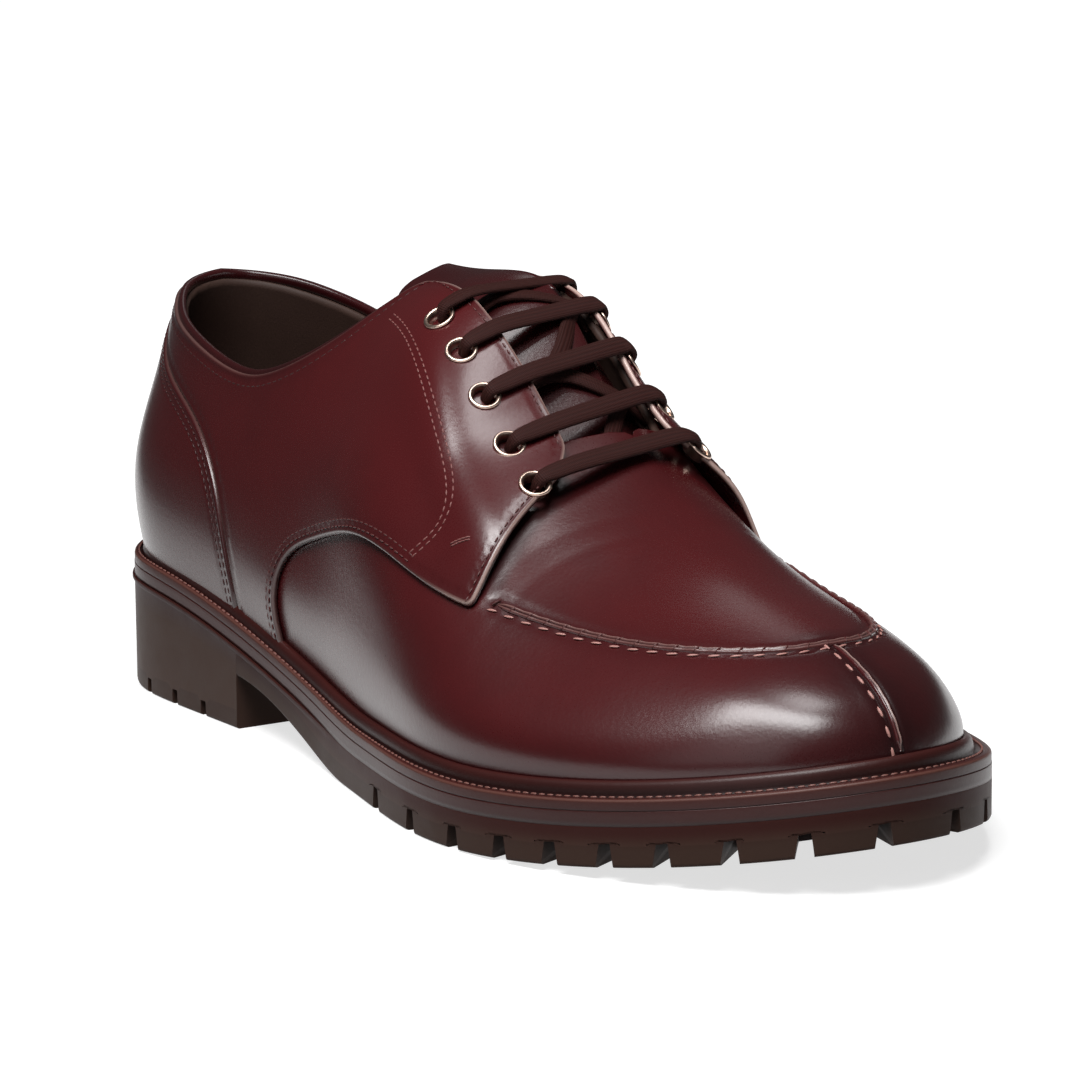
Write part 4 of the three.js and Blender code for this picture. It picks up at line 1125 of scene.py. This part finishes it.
def make_heel_counter():
    front = np.array(COUNTER_FRONT, float)
    half = np.stack([length_angle(front[:, 0]), np.arcsin(np.clip(front[:, 1], 0, 1))], -1)
    way = np.concatenate([(half * [-1, 1])[:-1], half[::-1]])
    at = way_along(way * [45, 60])
    edge = spline(at, way)(np.linspace(0, at[-1], 260))
    columns = np.linspace(edge[0, 0], edge[-1, 0], 220)
    q = np.interp(columns, edge[:, 0], edge[:, 1])[:, None] * np.linspace(0, 1, 74)[None]
    n, m = q.shape
    a, t = heel_to_last(np.repeat(columns, m), q.ravel())
    line = np.stack(heel_to_last(edge[:, 0], edge[:, 1]), -1)
    distance = line_distance(last_point(a, t), last_point(line[:, 0], line[:, 1]))[0]
    roll = np.sqrt(np.clip(1 - np.clip(1 - distance / 0.7, 0, 1) ** 2, 0, 1))
    lift = QUARTER_BASE + COUNTER_THICKNESS * (0.45 + 0.55 * roll)
    for row in COUNTER_ROWS:
        lift -= 0.16 * swell(distance, row, 0.5)
    dark = 0.18 + 0.45 * np.exp(-distance / 3.0) + 0.45 * np.exp(-np.sin(q.ravel()) / 0.12)
    dark += 0.18 * smooth(0.1, 0.0, length_share(a))
    points = np.r_[lifted(a, t, lift), lifted(a, t, QUARTER_BASE)]
    # Faint pale line on the counter's front edge: cut-edge colour and painted highlight.
    marks = {"burnish": np.tile(dark, 2), "cut": np.tile(np.where(distance < 0.05, 0.12, 0.0), 2)}
    faces = plate_faces(n, m)
    piece("counter_leather", points, faces, UPPER_LEATHER, ["counter"], marks, turned=True)
    rows = []
    for aside in COUNTER_ROWS:
        for keep in (edge[:, 0] < 0, edge[:, 0] > 0):
            beside = shifted_line(line[keep], aside)[3:-3]
            rows.append(stitch_row(beside, QUARTER_PITCH, QUARTER_BASE + COUNTER_THICKNESS - 0.05))
    stitches("counter_stitches", rows, 1.7, 0.36, 0.34, DARK_THREAD)


make_heel_counter()

# Tongue, hanging under the throat


def make_tongue():
    lateral, medial = [resample(chart(TONGUE_EDGE, side), 0.8) for _, side in SIDES]
    medial = between(np.linspace(0, 1, len(lateral)), np.linspace(0, 1, len(medial)), medial)
    across = np.linspace(0, 1, 41)
    a, t = lateral.T[..., None] * (1 - across) + medial.T[..., None] * across
    crown = 1.5 * np.sin(np.pi * across)[None] ** 2 * np.ones_like(a)
    roll = 1 - np.clip(1 - np.minimum(across, 1 - across) / 0.04, 0, 1)[None] ** 2 * np.ones_like(a)
    wave = 0.25 * np.sin(18 * a) * np.sin(np.pi * across)[None]
    top = lifted(a.ravel(), t.ravel(), (TONGUE_LIFT - 1.0 + roll + crown + wave).ravel())
    under = lifted(a.ravel(), t.ravel(), (TONGUE_LIFT - 2.3 + crown).ravel())
    marks = {"burnish": np.full(2 * a.size, 0.75)}
    points, faces = np.r_[top, under], plate_faces(*a.shape)
    piece("tongue_leather", points, faces, UPPER_LEATHER, ["tongue"], marks, turned=True)


make_tongue()

# Eyelets

EYELET_PROFILE = np.array([
    (2.75, -2.4), (2.95, -2.4), (3.0, -0.2), (3.5, -0.1), (3.9, 0.0), (4.0, 0.12), (4.0, 0.28),
    (3.88, 0.5), (3.6, 0.64), (3.3, 0.62), (3.05, 0.45), (2.9, 0.15), (2.8, -0.4),
])


def eyelet_frame(row, side):
    """Centre of an eyelet on the quarter's face, two ways across it and its normal."""
    a, t = eyelet_chart(row, side)
    normal = last_normal(a, t)
    along = unit(np.array([1.0, 0, 0]) - normal * normal[0])
    lift = QUARTER_BASE + QUARTER_THICKNESS + float(quarter_lift(a, t, side))
    return last_point(a, t) + normal * lift, along, np.cross(normal, along), normal


def make_eyelets():
    points, faces, names = [], [], []
    turn = np.linspace(0, 2 * np.pi, 40, endpoint=False)
    for side_name, side in SIDES:
        for row in range(EYELETS):
            centre, along, across, normal = eyelet_frame(row, side)
            ring = along[None] * np.cos(turn)[:, None] + across[None] * np.sin(turn)[:, None]
            reach, up = EYELET_PROFILE.T[:, None, :, None]
            grid = centre + ring[:, None] * reach + normal * up
            faces += grid_faces(*grid.shape[:2], True, True, len(points) * len(turn) * len(EYELET_PROFILE))
            points.append(grid.reshape(-1, 3))
            names.append(f"eyelet_{side_name}_{row + 1}")
    points = np.concatenate(points)
    piece("eyelet_rings", points, faces, METAL, names, merge=False, turned=True)


make_eyelets()

# Laces: straight bars on top, crossing runs under the facings

LACE_SECTION = oval(5.0, 1.5, 20, 2.7)
FACING_LEVEL = 0.948


def corners_cut(rows, times):
    """Polyline with its corners cut again and again, so that it runs smoothly inside them."""
    for _ in range(times):
        first = rows[:-1] * 0.75 + rows[1:] * 0.25
        second = rows[:-1] * 0.25 + rows[1:] * 0.75
        both = np.stack([first, second], 1).reshape(-1, rows.shape[1])
        rows = np.concatenate([rows[:1], both[1:-1], rows[-1:]])
    return rows


def lace_run(name, knots, replaced=()):
    """Lace through knots of place, normal and pinch."""
    rows = corners_cut(np.array([[*place, *normal, pinch] for place, normal, pinch in knots]), 4)
    at = way_along(rows[:, :3])
    goal = np.linspace(0, at[-1], int(at[-1] / 0.5))
    rows = between(goal, at, rows)
    narrow = rows[:, 6:]
    aside = LACE_SECTION[None, :, 0] * (1 - 0.42 * narrow)
    points = swept(rows[:, :3], rows[:, 3:6], aside, LACE_SECTION[None, :, 1] * (1 + 0.30 * narrow))
    n, m = points.shape[:2]
    braid = np.stack(np.broadcast_arrays(np.arange(m)[None] / m, goal[:, None]), -1).reshape(-1, 2)
    points, faces = points.reshape(-1, 3), tube_faces(n, m)
    piece(name, points, faces, LACE, replaced, braid=braid, merge=False, turned=True)


def bar_end(row, side):
    """Knots of a lace bar from inside its eyelet to the facing's edge."""
    centre, _, _, normal = eyelet_frame(row, side)
    a = eyelet_chart(row, side)[0]
    toward = unit(last_point(a, np.pi / 2) - centre)
    toward = unit(toward - normal * (toward @ normal))
    turn = np.arcsin(FACING_LEVEL) if side == LATERAL else np.pi - np.arcsin(FACING_LEVEL)
    edge_normal = last_normal(a, turn)
    edge_lift = QUARTER_BASE + QUARTER_THICKNESS + float(quarter_lift(a, turn, side)) + 1.15
    return [
        (centre - normal * 3.2 + toward * 0.3, -toward, 1.0),
        (centre - normal * 0.6 + toward * 0.6, -toward + normal * 0.2, 1.0),
        (centre + normal * 1.75 + toward * 1.7, normal - toward * 0.3, 0.7),
        (centre + normal * 1.62 + toward * 4.4, normal, 0.2),
        (last_point(a, turn) + edge_normal * edge_lift, unit(edge_normal + normal), 0.0),
    ]


for row in range(EYELETS):
    lateral, medial = bar_end(row, LATERAL), bar_end(row, MEDIAL)
    normal = unit(lateral[-1][1] + medial[-1][1])
    place = (lateral[-1][0] + medial[-1][0]) / 2 + normal * 0.25 * math.sin(3 * row)
    knots = lateral + [(place, normal, 0.0)] + medial[::-1]
    lace_run(f"lace_bar_{row + 1}_cord", knots, [f"lace_bar_{row + 1}"])

for row in range(EYELETS - 1):
    knots = []
    for side, at in ((LATERAL, row + row % 2), (MEDIAL, row + 1 - row % 2)):
        a, t = eyelet_chart(at, side)
        half = []
        for share, lift in ((1.0, -3.2), (0.75, -3.1), (0.45, -2.0)):
            turn = np.pi / 2 + (t - np.pi / 2) * share
            half.append((lifted(a, turn, lift), last_normal(a, turn), 0.3))
        knots.append(half)
    lace_run(f"lace_under_{row + 1}", knots[0] + knots[1][::-1])

# Welt, midsole and outsole

# Welt sections: reach from the upper, or from the edge, height, burnish, cut (pale edge colour, partly a
# painted highlight along the lip's top edge)
WELT_BEAD = [
    (-1.5, -2.6, 0.9, 0), (0.0, 2.35, 0.5, 0), (0.5, 2.75, 0.3, 0), (1.2, 2.9, 0.1, 0), (1.9, 2.65, 0.2, 0),
    (2.45, 2.0, 0.4, 0), (2.75, 1.1, 0.7, 0), (2.9, 0.2, 0.95, 0), (3.1, -0.55, 1.0, 0), (3.45, -0.7, 1.0, 0),
    (3.8, -0.35, 0.8, 0),
]
WELT_LIP = [
    (-1.55, 0.0, 0.25, 0), (-0.8, -0.02, 0.1, 0), (-0.35, -0.12, 0.05, 0.25), (-0.1, -0.35, 0.05, 0.3),
    (0.0, -0.7, 0.1, 0.05), (0.0, -2.3, 0.3, 0), (0.0, -2.62, 0.7, 0), (-0.5, -2.63, 0.9, 0),
]
# Midsole edge: inset, share of height, burnish
MIDSOLE_EDGE = [
    (14, 1, 0.5), (0.6, 1, 0.5), (0.05, 1.0, 0.3), (0.02, 0.93, 0.15), (0.02, 0.6, 0.2), (0.02, 0.3, 0.35),
    (0.02, -0.04, 0.5), (0.5, -0.04, 0.5), (14, -0.04, 0.5),
]
# Insole: share of the way out, height
INSOLE_RINGS = [
    (1.0, -1.4), (1.0, 1.0), (0.985, 1.5), (0.93, 1.3), (0.8, 0.9), (0.55, 0.6), (0.25, 0.5), (0.0, 0.5),
    (0.0, -1.4),
]
# Notches of the edge: share of length, height, half width at top and foot, reach inward
NOTCHES = [(share, 5.9, 1.25, 2.05, 15.0) for share in SOLE_NOTCHES]
NOTCHES += [(share, 4.0, 1.2, 1.3, 9.0) for share in HEEL_NOTCHES]
# Outsole below its top: inset, share of the ledge, drop
SOLE_TOP = [(14, 0, 0), (0.5, 1, 0), (0.02, 1, 0.01), (0, 1, 0.12), (0, 1, 0.8), (0, 0.5, 1.2), (0, 0, 1.7)]
LUG_STEPS = [0.0, 0.08, 0.3, 0.6, 0.85, 0.96, 1.0]
LUG_START = 6.2
# First ring of the outsole from which painted shade is laid on.
FIRST_SHADED_RING = 13


def sole_edge(a, side, inset=0.0):
    """Place on the sole's outline, moved inward by a length."""
    half = outline_at(a)[..., 0 if side == LATERAL else 1] * SOLE_BALL_WIDTH / 2
    x = inset + length_share(a) * (SOLE_LENGTH - 2 * inset)
    y = side * np.clip(half - inset * np.minimum(1, half / 8), 0, None) + swing(x)
    return np.stack([x, y], -1)


def sole_outline(a, sides, inset=0.0):
    return np.where((sides == LATERAL)[:, None], sole_edge(a, LATERAL, inset), sole_edge(a, MEDIAL, inset))


def sole_way(count):
    """Length of the sole's outline up to each place once round it, and the angle round it there."""
    turned = np.linspace(0, 2 * np.pi, 2 * count + 1)
    edge = sole_outline(*from_round(turned[:-1]))
    return way_along(np.r_[edge, edge[:1]]), turned


def from_round(turned):
    """Angle once round the sole as length angle and side."""
    lateral = turned <= np.pi
    return np.where(lateral, turned, 2 * np.pi - turned), np.where(lateral, LATERAL, MEDIAL)


def even_sole_way(step):
    """Length angles and sides at even steps round the sole."""
    at, turned = sole_way(1500)
    return from_round(np.interp(np.linspace(0, at[-1], int(at[-1] / step), endpoint=False), at, turned))


def sole_piece(name, rings, material, slot, node, **more):
    """Closed rings round the sole as one piece."""
    points = np.stack(rings, 1)
    n, m = points.shape[:2]
    marks = {key: np.tile(values, n) for key, values in more.items()}
    faces = grid_faces(n, m, True, True)
    piece(name, points.reshape(-1, 3), faces, material, [node], marks, turned=True)


def make_welt():
    a, sides = even_sole_way(1.1)
    outer = sole_outline(a, sides, 0.1)
    foot = last_point(a, np.where(sides == LATERAL, 0.0, np.pi))[:, :2]
    margin = np.linalg.norm(outer - foot, axis=1)
    out = (outer - foot) / (margin[:, None] + 1e-9)
    level = seat(outer[:, 0])
    rings = [np.c_[foot + out * (reach + 0.25), level + up] for reach, up, _, _ in WELT_BEAD]
    rings += [np.c_[foot + out * (margin + reach)[:, None], level + up] for reach, up, _, _ in WELT_LIP]
    _, _, dark, cut = np.array(WELT_BEAD + WELT_LIP).T
    sole_piece("storm_welt", rings, WELT_LEATHER, "welt_leather", "welt", burnish=dark, cut=cut)
    middle = (3.9 + 0.25 + margin - 1.3) / 2
    row = np.c_[foot + out * middle[:, None], level + 0.02]
    at = way_along(row)
    places = between(np.arange(0, at[-1], 2.3), at, row)
    along = unit(np.gradient(places, axis=0))
    up = unit(np.cross(np.cross(along, np.array([0, 0, 1.0])), along))
    stitches("welt_stitches", [(places, along, up)], 1.85, 0.62, 0.50, WELT_THREAD)


def midsole_foot(x):
    return seat(x) - WELT_THICKNESS - FIT - MIDSOLE_THICKNESS


def make_midsole():
    a, sides = even_sole_way(1.4)
    rings = []
    for inset, share, _ in MIDSOLE_EDGE:
        edge = sole_outline(a, sides, inset)
        low = midsole_foot(edge[:, 0])
        rings.append(np.c_[edge, low + (seat(edge[:, 0]) - WELT_THICKNESS - 0.05 - low) * share])
    dark = [row[2] for row in MIDSOLE_EDGE]
    sole_piece("midsole_edge", rings, WELT_LEATHER, "welt_leather", "midsole", burnish=dark)


def make_insole():
    a, sides = even_sole_way(3.0)
    foot = lifted(a, np.where(sides == LATERAL, 0.02, np.pi - 0.02), -2.4)[:, :2]
    middle_x = HEEL_MARGIN + 4 + length_share(a) * (LAST_LENGTH - 8)
    centre = np.c_[middle_x, swing(middle_x)]
    rings = []
    for share, rise in INSOLE_RINGS:
        flat = centre + (foot - centre) * share
        rings.append(np.c_[flat, seat(flat[:, 0]) + rise])
    sole_piece("insole_sock", rings, LINING, "lining", "insole")


def away_from(middle, clear, columns):
    return {place: mark for place, mark in columns.items() if abs(place - middle) > clear}


def sole_columns():
    """Places round the sole, closer at each notch edge and at the heel breast, with what each cuts."""
    at, turned = sole_way(4000)
    plain = (0, 5.2, 0.0, 15.0)
    columns = {float(place): plain for place in np.arange(0, at[-1], 1.6)}
    for side in (LATERAL, MEDIAL):
        for share, height, half_top, half_foot, reach in NOTCHES:
            angle = float(length_angle(share))
            middle = float(np.interp(angle if side == LATERAL else 2 * np.pi - angle, turned, at))
            columns = away_from(middle, half_foot + 0.9, columns)
            columns[middle] = (1, height, 0.0, reach)
            for sign in (-1, 1):
                for offset, cut in ((0.75, 0), (0.28, 0), (0.07, 0), (-0.07, 1), (-0.5, 1)):
                    slant = -sign * (half_foot - half_top) * smooth(0.9, 0.05, max(offset, 0))
                    columns[middle + sign * (half_foot + offset)] = (cut, height, slant, reach)
    angle = float(length_angle(HEEL_LENGTH / SOLE_LENGTH))
    for breast in np.interp([angle, 2 * np.pi - angle], turned, at):
        columns = away_from(breast, 0.7, columns)
        columns.update({breast + step: plain for step in (-0.6, -0.12, 0.12, 0.6)})
    places = sorted(columns)
    a, sides = from_round(np.interp(places, at, turned))
    return a, sides, np.array([columns[place] for place in places], float).T


def tread_floor(x):
    return np.where(x < HEEL_LENGTH, 0.0, arch(x)) + spring(x)


def make_outsole():
    a, sides, (cut, height, slant, reach) = sole_columns()
    cut = cut > 0
    edge = sole_outline(a, sides)
    tangent = unit(np.roll(edge, -1, 0) - np.roll(edge, 1, 0))
    out = np.stack([tangent[:, 1], -tangent[:, 0]], -1)
    x = edge[:, 0]
    share_x = x / SOLE_LENGTH
    top = midsole_foot(x) - 0.05
    floor = tread_floor(x)
    heel = x < HEEL_LENGTH
    recess = np.where(heel, 3.6, 4.6 * smooth(0.52, 0.56, share_x))
    recess_in = np.where(heel, 10.5, 15.5)
    ledge = 0.55 * smooth(0.50, 0.36, share_x)
    rings = []

    def ring(inset, z, slide=0.0):
        aside, along = [np.broadcast_to(move, len(a))[:, None] for move in (inset, slide)]
        rings.append(np.c_[edge - out * aside + tangent * along, z])

    for inset, share, drop in SOLE_TOP:
        ring(inset - ledge * share, top - drop)
    skirt = top - SOLE_TOP[-1][2]
    for share in (0.25, 0.5, 0.75):
        ring(0.0, skirt + (floor + LUG_START - skirt) * share)
    for step in (LUG_START, 5.5):
        ring(0.0, floor + step, slant)
    for share in LUG_STEPS:
        lug_z = floor + height * (1 - share) + 0.75 * share
        slide = slant * np.where(cut, 1, 1 - share)
        ring(np.where(cut, reach * share, 0), np.where(cut, floor + height, lug_z), slide)
    ring(np.where(cut, reach, 0.2), floor + np.where(cut, height * 0.8, 0.25))
    ring(np.where(cut, reach, 0.75), floor + np.where(cut, height * 0.6, 0))
    for share in (0.15, 0.4, 0.7, 0.97):
        inset = np.where(cut, reach, 0.75 + (reach - 0.75) * share)
        ring(inset, floor + np.where(cut, height * 0.6 * (1 - share), 0))
    ring(np.maximum(reach, recess_in), floor)
    ring(recess_in + 0.5, floor + 0.5 * (recess > 0))
    ring(recess_in + 0.9, floor + recess)
    squeeze = np.clip(x, recess_in + 6, SOLE_LENGTH - recess_in - 6)
    middle = np.c_[squeeze, swing(x), tread_floor(squeeze) + recess]
    rings += [rings[-1] * (1 - share) + middle * share for share in (0.4, 0.75, 1.0)]
    points = np.stack(rings, 1)
    n, m = points.shape[:2]
    dyed = 0.95 * smooth(6.0, 1.0, np.clip(top[:, None] - points[..., 2], 0, None))
    # Painted shade: full inside each notch, a quarter of it on the other columns from that ring on, across
    # the underside.
    notch_shade_mask = np.zeros((n, m))
    notch_shade_mask[:, FIRST_SHADED_RING:] = np.where(cut, 1.0, 0.25)[:, None]
    marks = {"burnish": dyed.ravel(), "cut": notch_shade_mask.ravel()}
    faces = grid_faces(n, m, True)
    piece("lugged_outsole", points.reshape(-1, 3), faces, RUBBER, ["outsole"], marks, sharp=38,
          turned=True)


make_welt()
make_midsole()
make_insole()
make_outsole()

# Studio

FLOOR_HALF = 60.0
FLOOR_SHADE = (0.46, 0.46, 0.46)
FLAG_HEIGHT = 0.001
WORLD_LIGHT = 0.045
BLACK = (0.0, 0.0, 0.0)
WHITE = (1.0, 1.0, 1.0)
CAMERA_AZIMUTH = 56.04
CAMERA_ELEVATION = 11.76
CAMERA_DISTANCE = 1.0695
CAMERA_ROLL = -0.47
CAMERA_LENS = 146.0
CAMERA_PIVOT = [150, 0, 40]
VIEW_SPREAD = 18.0 / CAMERA_LENS
LIGHT_AIM = Vector((0.0, 0.0, 0.05))


def camera_axes():
    """Ways back to the camera, to its right and up in its picture."""
    a, e = math.radians(CAMERA_AZIMUTH), math.radians(CAMERA_ELEVATION)
    back = Vector((math.sin(a) * math.cos(e), -math.cos(a) * math.cos(e), math.sin(e)))
    right = Vector((math.cos(a), math.sin(a), 0))
    return back, right, back.cross(right)


def floor_sheet(name, height, material):
    """A wide level square of the studio."""
    mesh = bpy.data.meshes.new(name)
    corners = [(x * FLOOR_HALF, y * FLOOR_HALF, height) for x, y in ((-1, -1), (1, -1), (1, 1), (-1, 1))]
    mesh.from_pydata(corners, [], [(0, 1, 2, 3)])
    mesh.materials.append(material)
    sheet = bpy.data.objects.new(name, mesh)
    bpy.context.scene.collection.objects.link(sheet)
    sheet.visible_diffuse = False
    return sheet


def make_floor():
    """Pale floor that gives off its own painted light, dimmer near the shoe and full away from it."""
    floor = Finish("studio_floor")
    floor.set(Base_Color=FLOOR_SHADE, Roughness=0.9, Specular_IOR_Level=0.05)
    x, y = floor.two_parts(floor.place())
    away = floor.eased((x * x + y * y) ** 0.5, 0.2, 0.75, 0.70, 1.0)
    # Painted light: the floor's own glow, 0.7 within 0.2 m of the centre, rising to full by 0.75 m.
    floor.set(Emission_Color=floor.mix(away, BLACK, WHITE), Emission_Strength=1.0)
    floor_sheet("studio_floor", 0.0, floor.material)


def make_flag():
    """Black sheet beside the picture, seen only in the leather, which keeps the quarter dark."""
    flag = Finish("studio_flag")
    flag.set(Base_Color=BLACK, Roughness=1.0, Specular_IOR_Level=0.0)
    x, y = flag.two_parts(flag.place())
    back, right, _ = camera_axes()
    aside = x * (right.x - VIEW_SPREAD * back.x) + y * (right.y - VIEW_SPREAD * back.y)
    flag.set(Alpha=flag.eased(aside, -0.33, -0.14, 0.92, 0.0))
    sheet = floor_sheet("studio_flag", FLAG_HEIGHT, flag.material)
    sheet.visible_camera = False
    sheet.visible_shadow = False


def make_world():
    world = bpy.context.scene.world or bpy.data.worlds.new("studio")
    bpy.context.scene.world = world
    world.use_nodes = True
    background = world.node_tree.nodes["Background"]
    background.inputs["Color"].default_value = (*WHITE, 1)
    background.inputs["Strength"].default_value = WORLD_LIGHT


def put(name, data, place, turn):
    """Places a camera or light."""
    obj = bpy.data.objects.new(name, data)
    obj.location = place
    obj.rotation_mode = "QUATERNION"
    obj.rotation_quaternion = turn
    bpy.context.scene.collection.objects.link(obj)
    return obj


def soft_light(name, way, size, power):
    """Soft rectangle, turned to the shoe from some way off."""
    data = bpy.data.lights.new(name, "AREA")
    data.shape = "RECTANGLE"
    data.size, data.size_y = size
    data.energy = power
    put(name, data, LIGHT_AIM + way, (-way).to_track_quat("-Z", "Y")).visible_camera = False


def make_camera():
    back, right, up = camera_axes()
    pivot = Vector(in_frame(CAMERA_PIVOT))
    data = bpy.data.cameras.new("studio_camera")
    data.lens = CAMERA_LENS
    place = pivot + back * CAMERA_DISTANCE
    turn = (pivot + right * 0.0065 + up * 0.013 - place).to_track_quat("-Z", "Y")
    turn = turn @ Quaternion((0, 0, 1), math.radians(CAMERA_ROLL))
    bpy.context.scene.camera = put("studio_camera", data, place, turn)


bpy.context.scene.view_settings.view_transform = "Standard"
make_floor()
make_flag()
make_world()
make_camera()
back, right, _ = camera_axes()
soft_light("key_overhead", Vector((0.25, -0.38, 0.89)) * 1.25, (0.88, 0.42), 18)
soft_light("instep_top", Vector((0.12, 0.04, 0.98)) * 1.3, (0.40, 0.30), 3.3)
soft_light("back_right", Vector((-0.64, 0.52, 0.57)) * 1.4, (0.26, 0.18), 0.13)
soft_light("front_fill", back * 1.6 - right * 0.9 + Vector((0, 0, 0.5)), (1.2, 1.2), 3.2)
